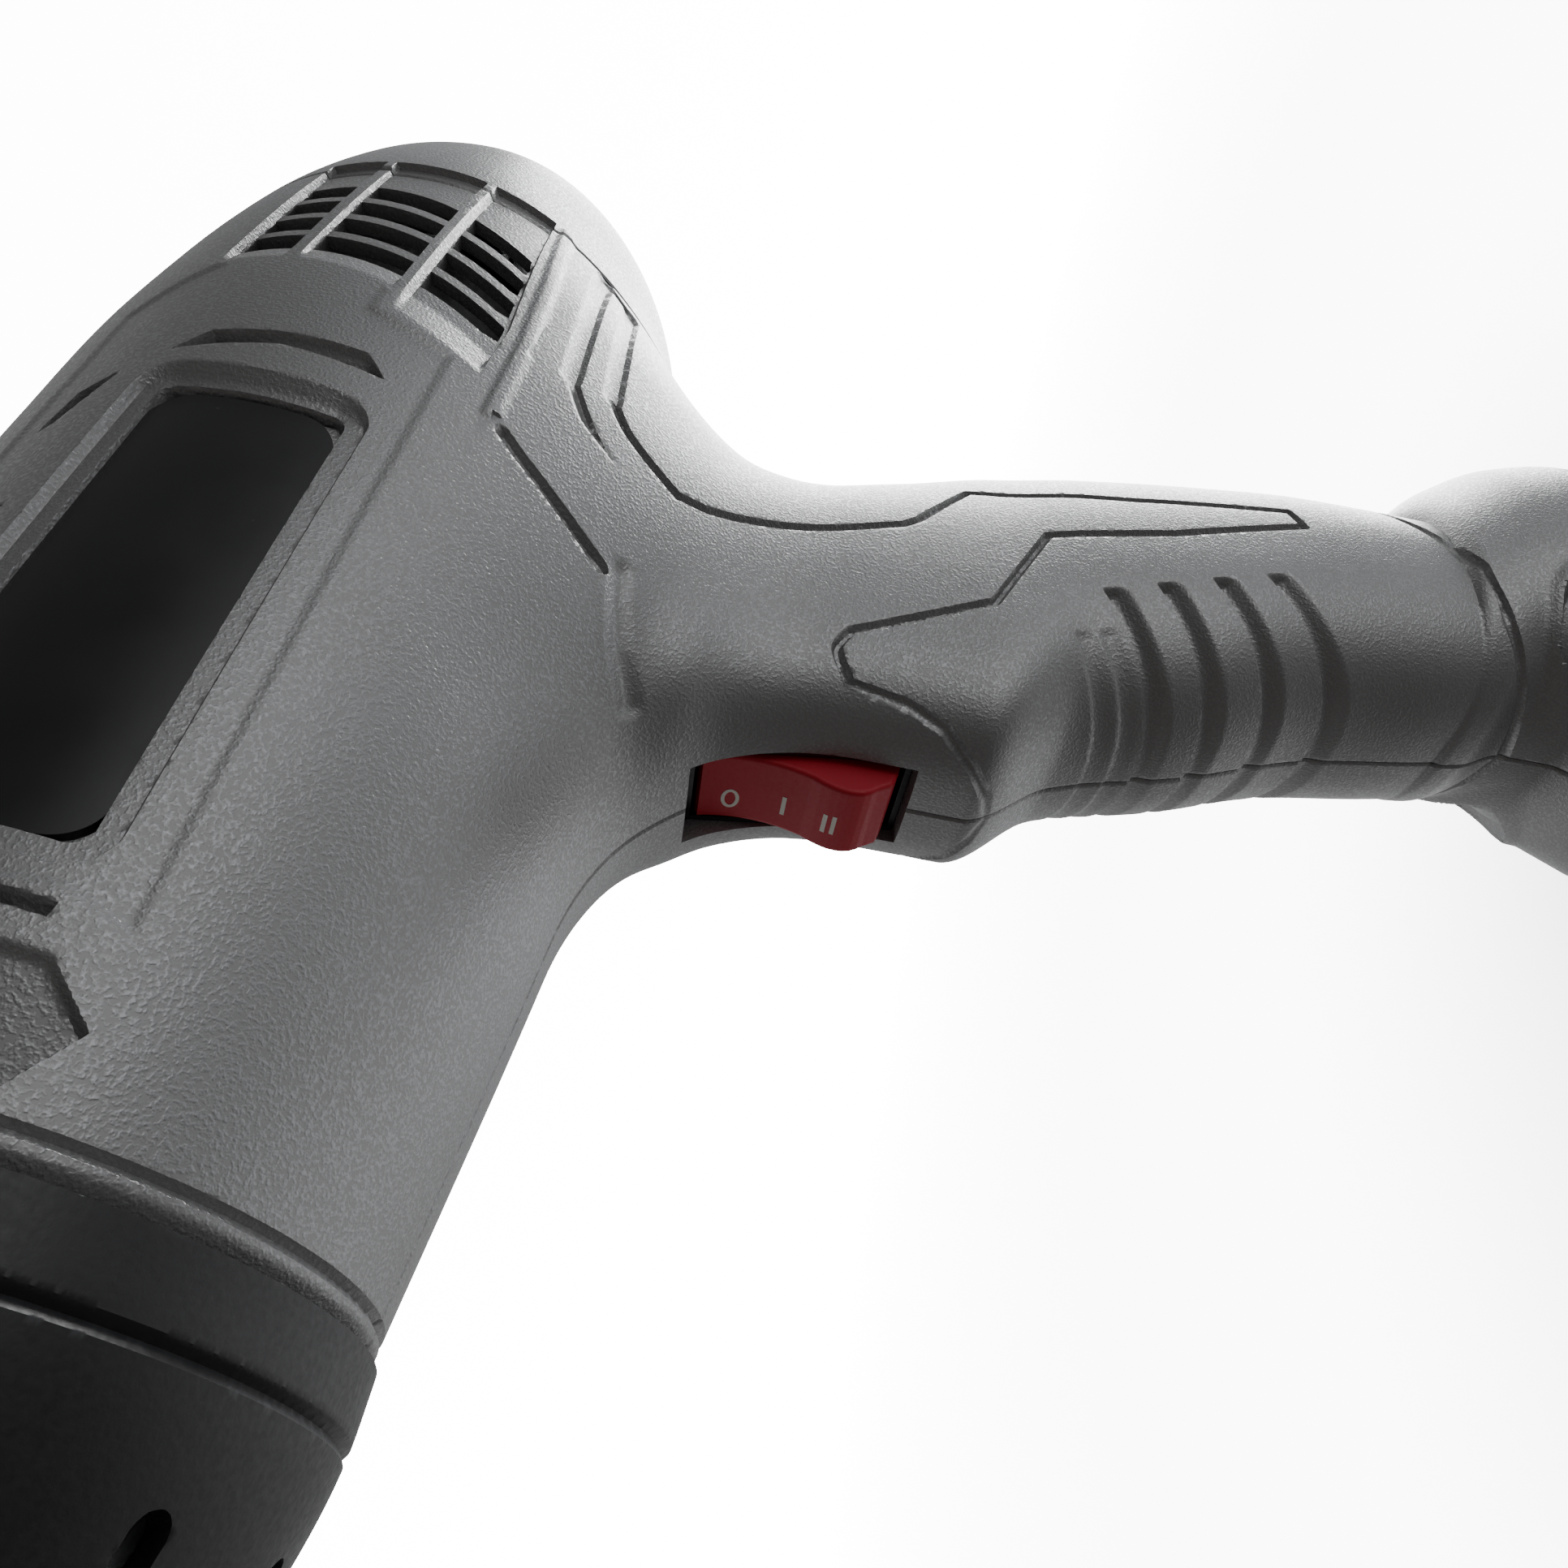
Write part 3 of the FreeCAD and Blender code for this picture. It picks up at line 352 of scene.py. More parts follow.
def make_side_relief():
    """Depth of every recess and groove on the casing's side."""
    relief = SideMap(0.0)

    # The level round the plate, bounded by a faint step.
    area, px, pz = relief.window(LEVEL, 2.0)
    eased = ease(-polygon_distance(px, pz, LEVEL) / LEVEL_BEVEL)
    np.maximum(area, LEVEL_DEPTH * eased, out=area)

    # Vent floors: three bands that slope down towards the first slot.
    for outline, ahead in ((UPPER_FLOOR, 4.6), (MIDDLE_FLOOR, 4.6), (LOWER_FLOOR, 7.0)):
        area, px, pz = relief.window(outline, 2.0)
        d = polygon_distance(px, pz, outline)
        slope = np.clip((slot_front(pz) + ahead - px) / VENT_RAMP, 0, 1)
        np.maximum(area, VENT_DEPTH * slope * np.clip(-d / VENT_WALL, 0, 1), out=area)

    # Plate recess: a ledge, or a slope at the rear, then a short wall down to the plate.
    corners = [(PLATE_MIDDLE - PLATE_OUTER_LENGTH / 2, -PLATE_OUTER_HEIGHT / 2),
               (PLATE_MIDDLE + PLATE_OUTER_LENGTH / 2, PLATE_OUTER_HEIGHT / 2)]
    area, px, pz = relief.window(corners, 1.0)
    d = -round_rect_distance(px, pz, PLATE_MIDDLE, PLATE_OUTER_LENGTH, PLATE_OUTER_HEIGHT,
                             PLATE_CORNER)
    ledge = np.interp(d, [0.0, 0.6, 2.3, 2.8], [0.0, 1.0, 1.1, 2.4])
    slope = np.interp(d, [0.0, 0.4, 2.4, 2.8], [0.0, 0.3, 1.6, 2.4])
    rear = ease((corners[0][0] + 3.6 - px) / 3.0)
    profile = ledge + (slope - ledge) * rear
    area[...] = np.where(d > 0, np.maximum(area, profile + LEVEL_DEPTH), area)

    # Scoops behind and ahead of the plate: each slopes down forwards to a short wall.
    def scoop(outline, start, end, depth):
        part, sx, sz = relief.window(outline, 1.0)
        d = polygon_distance(sx, sz, outline)
        slope = np.clip((sx - start) / (end - start), 0.12, 1)
        np.maximum(part, depth * slope * ease(-d / 1.0), out=part)

    scoop(REAR_SCOOP, 73.4, 76.4, 2.6)
    scoop(FRONT_STEP, 137.0, 138.2, 1.6)
    scoop(FRONT_SCOOP, 139.0, 150.0, 2.2)
    for k in range(TOP_SCOOP_COUNT):
        shift = TOP_SCOOP_PITCH * k
        scoop([(sx + shift, sz) for sx, sz in TOP_SCOOP], 79.0 + shift, 84.0 + shift, 2.3)

    # Rounded bead under the vents.
    area, px, pz = relief.window(RIM, 3.0)
    bead = np.full(area.shape, 9.0)
    for a, b in zip(RIM, RIM[1:]):
        bead = np.minimum(bead, segment_distance(px, pz, a, b))
    bead += np.where(px < 30.0, 9.0, 0.0)
    np.minimum(area, area * ease(bead / 1.6) - RIM_HEIGHT * ease(1.3 - bead), out=area)
    for half, depth, taper, points in STRAIGHT_GROOVES:
        cut_line(relief, points, half, depth, taper)
    for half, depth, taper, points in SMOOTH_GROOVES:
        cut_line(relief, curve_points(points), half, depth, taper)

    # Rimmed hollow on the side of the foot.
    middle_x, middle_z = FOOT_HOLLOW
    corners = [(middle_x - 8.0, middle_z - 9.0), (middle_x + 10.0, middle_z + 11.0)]
    area, px, pz = relief.window(corners, 3.0)
    d = round_rect_distance(px, pz - middle_z, middle_x, *FOOT_HOLLOW_SIZE)
    area[...] = np.where(d < 0, 1.5 * ease(-d / 1.6), area - 0.5 * ease(1 - d / 2.2))
    return relief


def make_slot_map():
    """Signed distance to the louvre slots, negative inside, capped at 2 mm."""
    slots = SideMap(2.0)
    for low, high in SLOT_BANDS:
        for k in range(SLOT_COUNT):
            shift = SLOT_PITCH * k
            part, px, pz = slots.window([(slot_front(low) - shift - 6.0, low),
                                         (slot_front(high) - shift + 1.0, high)], 2.0)
            front = slot_front(pz) - shift
            d = np.maximum(np.maximum(px - front, front - SLOT_GAP - px),
                           np.maximum(low - pz, pz - high))
            if low < -10.0:
                rim = np.interp(px, [29.0, 60.0, 70.0], [-14.7, -17.6, -17.8])
                d = np.maximum(d, rim + 0.5 - pz)
            np.minimum(part, d, out=part)
    return slots


RELIEF = make_side_relief()
SLOTS = make_slot_map()


# ---- detail that wraps round the grip ----
FRONT_LINE = [(81.4, 13.8, -62.4), (82.4, 13.2, -69.6), (83.8, 11.9, -74.3), (85.6, 8.2, -78.6),
              (86.0, 4.0, -81.4), (85.6, 0.0, -82.6)]
COLLAR_LINE = [(17.0, 0.0, -131.5), (19.0, 9.0, -133.0), (27.1, 16.5, -136.5),
               (33.1, 18.1, -141.2), (40.2, 19.2, -145.0), (49.0, 17.3, -147.6),
               (53.3, 13.3, -150.3), (55.1, 7.5, -153.1), (55.6, 0.0, -155.5)]
# Fold where the barrel's underside runs into the grip's front.
CREASE = [(81.6, 23.2, -35.6), (84.4, 22.6, -36.2), (89.5, 19.6, -37.6), (93.0, 15.6, -39.6)]
FOLD_DEPTH = 0.4
# Finger scallops: height of the sharp edge at X 60, slope towards the front, depth, width and
# how far ahead of the common rear line it starts.
SCALLOPS = [(-83.6, 0.60, 0.2, 4.0, 6.0), (-87.7, 0.60, 0.2, 3.6, 6.0),
            (-91.6, 0.62, 1.15, 4.3, 0.0), (-100.4, 0.62, 1.25, 4.4, 0.0),
            (-110.2, 0.70, 1.25, 4.6, 0.0), (-121.0, 0.82, 1.15, 5.0, 0.0)]
SCALLOP_REAR = 59.6        # X of the scallops' rear ends at Z -92, following the grip's lean
GRIP_LEAN = 0.41


def path_distance(x, y, z, points):
    nearest = np.full(x.shape, 1e9)
    for a, b in zip(points, points[1:]):
        a = np.array(a)
        e = np.array(b) - a
        t = np.clip(((x - a[0]) * e[0] + (y - a[1]) * e[1] + (z - a[2]) * e[2]) / (e @ e), 0, 1)
        nearest = np.minimum(nearest, np.sqrt((x - a[0] - e[0] * t) ** 2 + (y - a[1] - e[1] * t) ** 2
                                              + (z - a[2] - e[2] * t) ** 2))
    return nearest


def groove(distance, half, depth):
    return depth * np.clip((1 - distance / half) * 1.5, 0, 1)


def wrapped_relief(x, a, z):
    """Depth of the detail that runs round the front of the grip. a is the distance from Y 0."""
    depth = np.zeros(x.shape)
    near = (z < -58) & (z > -86) & (x > 74)
    depth[near] = groove(path_distance(x[near], a[near], z[near], FRONT_LINE), 0.8, 0.75)
    near = (z < -128) & (z > -160)
    depth[near] = groove(path_distance(x[near], a[near], z[near], COLLAR_LINE), 0.9, 0.7)
    near = (z < -80) & (z > -142) & (x > 44)
    gx, gz, ga = x[near], z[near], a[near]
    rear = SCALLOP_REAR + GRIP_LEAN * (gz + 92.0)
    total = np.zeros(gx.shape)
    for edge, slope, deep, width, ahead in SCALLOPS:
        t = edge - slope * (gx - 60.0) - gz
        fall = ease(t / 0.5) * ease((width - t) / width * 1.5)
        total = np.maximum(total, deep * fall * ease((gx - rear - ahead) / 1.2))
    depth[near] = np.maximum(depth[near], total * (0.45 + 0.55 * ease(ga / 11.0)))
    near = (z < -32) & (z > -44) & (x > 78) & (x < 97) & (a > 10)
    d = path_distance(x[near], a[near], z[near], CREASE)
    depth[near] = np.maximum(depth[near], FOLD_DEPTH * ease(1 - d / 2.2))
    return depth


def fold_height(x, a, z):
    """The rounded ridge just above the crease in the neck."""
    height = np.zeros(x.shape)
    near = (z < -29) & (z > -44) & (x > 78) & (x < 97) & (a > 10)
    ridge = [(px, py, pz + 2.3) for px, py, pz in CREASE]
    d = path_distance(x[near], a[near], z[near], ridge)
    height[near] = FOLD_DEPTH * ease(1 - d / 2.0)
    return height


def end_relief(x, a, z):
    """The line and lip at the casing's front edge, and the line of the rear joint."""
    lip = 0.55 * np.clip(1 - np.abs(x - 152.0) / 0.55, 0, 1) + 0.8 * np.clip((x - 153.2) / 1.2, 0, 1)
    joint = 0.35 * np.clip(1 - np.abs(x - CAP_LENGTH) / 0.5, 0, 1) * (z > BARREL_LOW)
    split = 0.3 * np.clip(1 - a / 0.4, 0, 1) * ((x > CAP_LENGTH) | (z < BARREL_LOW))
    return lip + joint + split


def opening_distance(x, a, z):
    """The rocker opening as a box in the grip, tilted with it."""
    dx = x - SWITCH_CENTRE[0]
    dz = z - SWITCH_CENTRE[1]
    along = dx * math.sin(SWITCH_TILT) + dz * math.cos(SWITCH_TILT)
    deep = dx * math.cos(SWITCH_TILT) - dz * math.sin(SWITCH_TILT)
    across = np.maximum(np.abs(along) - OPENING_LENGTH / 2, a - OPENING_WIDTH / 2)
    return np.maximum(across, -16.0 - deep)


def outer_surface(x, y, z):
    """Signed distance of the casing with all its detail, and without it."""
    a = np.abs(y)
    plain = casing(x, y, z)
    side = RELIEF.look(x, z) * np.clip((a - 4.0) / 3.0, 0, 1)
    wrapped = wrapped_relief(x, a, z)
    depth = np.where(wrapped > 0, np.maximum(side, wrapped), side) + end_relief(x, a, z)
    depth -= fold_height(x, a, z)
    return np.maximum(plain + depth, REAR_FACE - x), plain


def shell_distance(p):
    """One shell: the part of the casing with Y above 0, between the rear cap and the collar."""
    x, y, z = p[:, 0], p[:, 1], p[:, 2]
    outer, plain = outer_surface(x, y, z)
    inner = np.maximum(plain + WALL, outer + 0.9)
    inner = np.maximum(inner, FOOT_FLOOR - z)
    d = np.maximum(outer, -inner)
    d = np.maximum(d, -opening_distance(x, np.abs(y), z))
    slot = np.maximum(SLOTS.look(x, z), 20.0 - np.abs(y))
    d = np.maximum(d, -slot)
    d = np.maximum(d, SPLIT_GAP - y)
    d = np.maximum(d, x - BARREL_END)
    rear = np.where(z < BARREL_LOW, d, np.maximum(d, CAP_LENGTH + CAP_GAP - x))
    gland = np.hypot(x - GLAND_X, y) - GLAND_R
    return np.maximum(rear, np.where(z < -165, -gland, -50.0))


def right_shell_distance(p):
    """The other shell seen in a mirror, with the wells for the screws."""
    x, y, z = p[:, 0], p[:, 1], p[:, 2]
    d = shell_distance(p)
    plain = casing(x, y, z)
    for screw_x, screw_z, seat in SCREWS:
        reach = np.hypot(x - screw_x, z - screw_z)
        post = np.maximum(np.maximum(reach - WELL_R - POST_WALL, plain), SPLIT_GAP - y)
        d = np.maximum(np.minimum(d, post), -np.maximum(reach - WELL_R, seat - y))
    return d


def cap_distance(p):
    """The rear cap: the casing behind the joint, hollow, with four slots through its end."""
    x, y, z = p[:, 0], p[:, 1], p[:, 2]
    outer, plain = outer_surface(x, y, z)
    d = np.maximum(outer, -(plain + WALL))
    reach = np.hypot(np.abs(y) - CAP_SCREW_Y, z)
    d = np.minimum(d, np.maximum(reach - WELL_R - CAP_POST_WALL, outer))
    d = np.maximum(d, -np.maximum(reach - WELL_R, x - CAP_SEAT))
    d = np.maximum(d, x - CAP_LENGTH + CAP_GAP)
    d = np.maximum(d, BARREL_LOW - z)
    for number in range(CAP_SLOT_COUNT):
        place = number - (CAP_SLOT_COUNT - 1) / 2
        middle = CAP_SLOT_PITCH * place + CAP_SLOT_SLANT * (x - WALL / 2)
        slot = np.maximum(np.abs(z - middle) - CAP_SLOT_HEIGHT, np.abs(y) - CAP_SLOT_HALF)
        d = np.maximum(d, -np.maximum(slot, x - CAP_SLOT_DEPTH))
    return d


# ---- collar and rocker ----
def rounded_slot(u, v, half_length, radius):
    return np.hypot(np.maximum(np.abs(u) - half_length + radius, 0), v) - radius


def shroud_distance(p):
    """The black collar: a turned shell with air slots round it and a spigot behind."""
    x, y, z = p[:, 0], p[:, 1], p[:, 2]
    r = np.hypot(y, z)
    edge = np.interp(x, *SHROUD_CURVE)
    d = soft_max(np.maximum(r - edge, BARREL_END - x), x - SHROUD_END, SHROUD_EDGE)
    d = np.maximum(d, -np.maximum(r - edge + SHROUD_WALL, x - SHROUD_END + SHROUD_WALL))
    across = np.maximum(r - SPIGOT_R[1], SPIGOT_R[0] - r)
    d = np.minimum(d, np.maximum(across, np.maximum(SPIGOT_X[0] - x, x - SPIGOT_X[1])))
    d = np.maximum(d, TUBE_R + 0.6 - r)
    sector = 2 * math.pi / SHROUD_SLOTS
    turn = np.arctan2(y, z)
    aside = r * np.sin(turn - sector * np.round(turn / sector))
    slot = np.maximum(rounded_slot(x - SHROUD_SLOT_X, aside, 6.0, 1.5), 20.0 - r)
    ring = 0.5 * ease(1 - np.abs(x - SHROUD_RING_X) / 0.8)
    return np.maximum(np.where(r > edge - 1.0, d + ring, d), -slot)


def rocker_outline():
    """The rocker's profile in the switch's own axes: a hollow face, then a ridge and a short end."""
    centre, radius = ROCKER_ARC
    points = []
    for k in range(13):
        height = ROCKER_TOP + (ROCKER_RIDGE[1] - ROCKER_TOP) * k / 12
        points.append((centre[0] - math.sqrt(radius**2 - (height - centre[1]) ** 2), height))
    start, peak = points[-4], ROCKER_PEAK
    end = [(a + b) / 2 for a, b in zip(ROCKER_END, ROCKER_RIDGE)]
    points = points[:-4]
    for t in np.linspace(0, 1, 9):
        points.append(tuple((1 - t) ** 2 * a + 2 * t * (1 - t) * b + t * t * c
                            for a, b, c in zip(start, peak, end)))
    return points + [ROCKER_END, (-5.0, -12.0), (-5.0, 12.0)]


def rocker_distance(p):
    """The rocker in the switch's own axes, with rounded edges."""
    x, y, z = p[:, 0], p[:, 1], p[:, 2]
    d = polygon_distance(x, z, rocker_outline())
    d = np.maximum(d, np.hypot(x + PIVOT_DEPTH, z) - ROCKER_REACH)
    side = np.abs(y) - ROCKER_HALF_WIDTH
    soft = np.maximum(d + ROCKER_EDGE, 0.0), np.maximum(side + ROCKER_EDGE, 0.0)
    d = np.minimum(np.maximum(d, side) + ROCKER_EDGE, 0.0) + np.hypot(*soft) - ROCKER_EDGE
    return np.maximum(d, PIVOT_HOLE_R - np.hypot(x + PIVOT_DEPTH, z))


# ---- meshing a signed distance by dual contouring ----
BATCH = 400000             # points worked out at a time
BLOCK = 8                  # cells along a block, tested as a whole before its corners are
BLOCK_MARGIN = 1.6         # how far from the surface a block may lie and still be kept
PROBE = 0.04               # step for a surface normal
STIFFNESS = 0.08           # pull of a vertex towards the middle of its crossings
OVERSHOOT = 0.1            # share of a cell that a vertex may leave it by


def distances(field, points):
    out = np.empty(len(points))
    for i in range(0, len(points), BATCH):
        out[i:i + BATCH] = field(points[i:i + BATCH])
    return out


def contour(field, low, high, cell):
    """Vertices and quads of a field's zero surface, with its sharp edges kept."""
    low = np.array(low, float)
    count = np.ceil((np.array(high) - low) / (cell * BLOCK)).astype(int)
    idx = np.stack(np.meshgrid(*[np.arange(c) for c in count], indexing="ij"), -1).reshape(-1, 3)
    centres = low + (idx + 0.5) * BLOCK * cell
    reach = BLOCK * cell * math.sqrt(3) / 2 + BLOCK_MARGIN
    idx = idx[np.abs(distances(field, centres)) < reach]
    size = count * BLOCK + 1
    values = np.full(size, np.nan, np.float32)
    corner = np.stack(np.meshgrid(*[np.arange(BLOCK + 1)] * 3, indexing="ij"), -1).reshape(-1, 3)
    keys = (idx[:, None, :] * BLOCK + corner[None]).reshape(-1, 3)
    flat = np.unique(np.ravel_multi_index(keys.T, size))
    ijk = np.stack(np.unravel_index(flat, size), -1)
    values.ravel()[flat] = distances(field, low + ijk * cell)

    crossings, axes, bases, signs = [], [], [], []
    for axis in range(3):
        a = [slice(None)] * 3
        b = [slice(None)] * 3
        a[axis] = slice(0, -1)
        b[axis] = slice(1, None)
        va, vb = values[tuple(a)], values[tuple(b)]
        found = np.argwhere((va < 0) != (vb < 0))
        fa, fb = va[tuple(found.T)], vb[tuple(found.T)]
        real = ~(np.isnan(fa) | np.isnan(fb))
        found, fa, fb = found[real], fa[real].astype(float), fb[real].astype(float)
        start = low + found * cell
        unit = np.zeros(3)
        unit[axis] = cell
        t0, t1 = np.zeros(len(fa)), np.ones(len(fa))
        v0, v1 = fa.copy(), fb.copy()
        for _ in range(3):
            t = np.clip(t0 - v0 * (t1 - t0) / (v1 - v0 + 1e-12), t0 + 0.02 * (t1 - t0),
                        t1 - 0.02 * (t1 - t0))
            v = distances(field, start + t[:, None] * unit)
            same = (v < 0) == (v0 < 0)
            t0, v0 = np.where(same, t, t0), np.where(same, v, v0)
            t1, v1 = np.where(same, t1, t), np.where(same, v1, v)
        t = t0 - v0 * (t1 - t0) / (v1 - v0 + 1e-12)
        crossings.append(start + t[:, None] * unit)
        axes.append(np.full(len(t), axis))
        bases.append(found)
        signs.append(fa < 0)
    points = np.concatenate(crossings)
    axes = np.concatenate(axes)
    bases = np.concatenate(bases)
    signs = np.concatenate(signs)

    normals = np.empty_like(points)
    for k in range(3):
        shift = np.zeros(3)
        shift[k] = PROBE
        normals[:, k] = distances(field, points + shift) - distances(field, points - shift)
    normals /= np.maximum(np.linalg.norm(normals, axis=1, keepdims=True), 1e-9)

    # Each crossed edge touches four cells.
    around = {0: [(0, 0, 0), (0, -1, 0), (0, -1, -1), (0, 0, -1)],
              1: [(0, 0, 0), (0, 0, -1), (-1, 0, -1), (-1, 0, 0)],
              2: [(0, 0, 0), (-1, 0, 0), (-1, -1, 0), (0, -1, 0)]}
    offsets = np.array([around[a] for a in range(3)])[axes]
    cells = np.clip(bases[:, None, :] + offsets, 0, size - 1)
    cell_keys = np.ravel_multi_index(cells.reshape(-1, 3).T, size)
    unique, inverse = np.unique(cell_keys, return_inverse=True)
    inverse = inverse.reshape(-1)
    n = len(unique)
    p4 = np.repeat(points, 4, axis=0)
    n4 = np.repeat(normals, 4, axis=0)
    number = np.bincount(inverse, minlength=n).astype(float)
    mass = np.stack([np.bincount(inverse, p4[:, k], n) for k in range(3)], -1) / number[:, None]
    local = p4 - mass[inverse]
    b4 = np.einsum("ij,ij->i", n4, local)
    system = np.zeros((n, 3, 3))
    right = np.zeros((n, 3))
    for i in range(3):
        right[:, i] = np.bincount(inverse, n4[:, i] * b4, n)
        for j in range(3):
            system[:, i, j] = np.bincount(inverse, n4[:, i] * n4[:, j], n)
    system += np.eye(3) * STIFFNESS
    move = np.linalg.solve(system, right[:, :, None])[:, :, 0]
    corner_low = low + np.stack(np.unravel_index(unique, size), -1) * cell
    spare = OVERSHOOT * cell
    vertices = np.clip(mass + move, corner_low - spare, corner_low + cell + spare)
    quads = inverse.reshape(-1, 4)
    quads = np.where(signs[:, None], quads, quads[:, ::-1])
    return vertices, quads


# ---- small helpers ----
def add_object(name, data):
    piece = bpy.data.objects.new(name, data)
    bpy.context.scene.collection.objects.link(piece)
    return piece


def mesh_object(name, vertices, faces, smooth_angle=35.0):
    """A mesh object from millimetre vertices."""
    mesh = bpy.data.meshes.new(name)
    vertices = np.asarray(vertices, float) * MM
    faces = np.asarray(faces, np.int32)
    width = faces.shape[1]
    mesh.vertices.add(len(vertices))
    mesh.vertices.foreach_set("co", vertices.ravel())
    mesh.loops.add(faces.size)
    mesh.loops.foreach_set("vertex_index", faces.ravel())
    mesh.polygons.add(len(faces))
    mesh.polygons.foreach_set("loop_start", np.arange(len(faces)) * width)
    mesh.polygons.foreach_set("loop_total", np.full(len(faces), width))
    mesh.update(calc_edges=True)
    mesh.validate()
    mesh.polygons.foreach_set("use_smooth", np.ones(len(mesh.polygons), bool))
    mesh.set_sharp_from_angle(angle=math.radians(smooth_angle))
    return add_object(name, mesh)


def strips(rings, count, closed=True):
    """Faces between rings of count points each; closed joins the last ring to the first."""
    faces = []
    for k in range(rings if closed else rings - 1):
        m = (k + 1) % rings
        for i in range(count):
            j = (i + 1) % count
            faces.append((k * count + i, k * count + j, m * count + j, m * count + i))
    return faces


def remap(tree, value, numbers, interpolation="LINEAR"):
    """A value mapped from one range to another: from low, from high, to low, to high."""
    node = tree.nodes.new("ShaderNodeMapRange")
    node.interpolation_type = interpolation
    for key, number in zip(("From Min", "From Max", "To Min", "To Max"), numbers):
        node.inputs[key].default_value = number
    tree.links.new(value, node.inputs["Value"])
    return node.outputs["Result"]


def ramp_node(tree, stops):
    """A colour ramp through (position, colour) stops."""
    ramp = tree.nodes.new("ShaderNodeValToRGB")
    while len(ramp.color_ramp.elements) < len(stops):
        ramp.color_ramp.elements.new(0.5)
    for element, (position, colour) in zip(ramp.color_ramp.elements, stops):
        element.position = position
        element.color = (*colour, 1.0)
    return ramp


# ---- materials ----
class Shader:
    """A Principled material with a few helpers for its nodes."""

    def __init__(self, name, colour, roughness, metallic=0.0):
        self.material = bpy.data.materials.new(name)
        self.material.use_nodes = True
        self.tree = self.material.node_tree
        self.link = self.tree.links.new
        self.out = self.tree.nodes["Principled BSDF"]
        self.out.inputs["Base Color"].default_value = (*colour, 1.0)
        self.out.inputs["Roughness"].default_value = roughness
        self.out.inputs["Metallic"].default_value = metallic
        coords = self.tree.nodes.new("ShaderNodeTexCoord")
        self.place = coords.outputs["Object"]

    def noise(self, size, detail=2.0):
        """Noise with features of about size metres."""
        node = self.tree.nodes.new("ShaderNodeTexNoise")
        node.inputs["Scale"].default_value = 1.0 / size
        node.inputs["Detail"].default_value = detail
        self.link(self.place, node.inputs["Vector"])
        return node.outputs["Fac"]

    def cells(self, size):
        """Distance to the nearest of scattered points about size metres apart."""
        node = self.tree.nodes.new("ShaderNodeTexVoronoi")
        node.inputs["Scale"].default_value = 1.0 / size
        self.link(self.place, node.inputs["Vector"])
        return node.outputs["Distance"]

    def spread(self, value, *numbers):
        """A value mapped from one range to another, as remap does it."""
        return remap(self.tree, value, numbers)

    def blend(self, factor, first, second):
        node = self.tree.nodes.new("ShaderNodeMix")
        node.data_type = "RGBA"
        sockets = {s.identifier: s for s in node.inputs}
        for key, value in (("A_Color", first), ("B_Color", second)):
            if isinstance(value, tuple):
                sockets[key].default_value = (*value, 1.0)
            else:
                self.link(value, sockets[key])
        self.link(factor, sockets["Factor_Float"])
        return next(s for s in node.outputs if s.identifier == "Result_Color")

    def colour(self, socket):
        self.link(socket, self.out.inputs["Base Color"])

    def roughness(self, socket):
        self.link(socket, self.out.inputs["Roughness"])

    def bump(self, height, distance, strength):
        node = self.tree.nodes.new("ShaderNodeBump")
        node.inputs["Distance"].default_value = distance
        node.inputs["Strength"].default_value = strength
        self.link(height, node.inputs["Height"])
        self.link(node.outputs["Normal"], self.out.inputs["Normal"])


def silver_plastic():
    """Silver-grey paint-like plastic whose spark grain shines at its peaks: lower roughness and a bump
    there, and a lighter colour that is partly grain tone and partly a painted glint.
    """
    s = Shader("silver_plastic", (0.3, 0.3, 0.3), 0.42, metallic=0.55)
    grain = s.noise(0.00036, 1.0)
    grain_and_glint_tips = s.spread(grain, 0.42, 0.72, 0.0, 1.0)
    broad = s.noise(0.02, 3.0)
    tone = s.blend(s.spread(broad, 0.35, 0.65, 0.0, 1.0), (0.265, 0.263, 0.264), (0.285, 0.284, 0.287))
    # Painted glint: the grain's peaks are painted a lighter silver, standing in for the sparkle of the
    # flakes as well as their tone.
    tone = s.blend(grain_and_glint_tips, tone, (0.315, 0.317, 0.323))
    s.colour(tone)
    s.roughness(s.spread(grain_and_glint_tips, 0.0, 1.0, 0.48, 0.3))
    s.bump(grain_and_glint_tips, 0.000036, 0.75)
    return s.material


def plain_plastic(name, colour, roughness, grain_size=0.0005, grain=0.00003, lift=1.25,
                  specular=0.5):
    """Moulded plastic with a fine grain, slightly lighter in broad patches by lift."""
    s = Shader(name, colour, roughness)
    fine = s.noise(grain_size, 3.0)
    broad = s.noise(0.012, 2.0)
    high = tuple(min(c * lift, 1.0) for c in colour)
    s.colour(s.blend(s.spread(broad, 0.35, 0.65, 0.0, 1.0), colour, high))
    s.roughness(s.spread(fine, 0.3, 0.7, roughness - 0.05, roughness + 0.07))
    s.bump(fine, grain, 0.5)
    s.out.inputs["Specular IOR Level"].default_value = specular
    return s.material


def gloss_black():
    """Smooth black plate with a slight haze and a few specks of dust."""
    s = Shader("gloss_black", (0.009, 0.0095, 0.011), 0.3)
    haze = s.noise(0.009, 4.0)
    dust = s.spread(s.cells(0.006), 0.03, 0.045, 1.0, 0.0)
    s.colour(s.blend(dust, (0.0085, 0.009, 0.0105), (0.05, 0.046, 0.042)))
    s.roughness(s.spread(haze, 0.3, 0.7, 0.3, 0.42))
    s.bump(s.noise(0.0004, 2.0), 0.00001, 0.3)
    return s.material


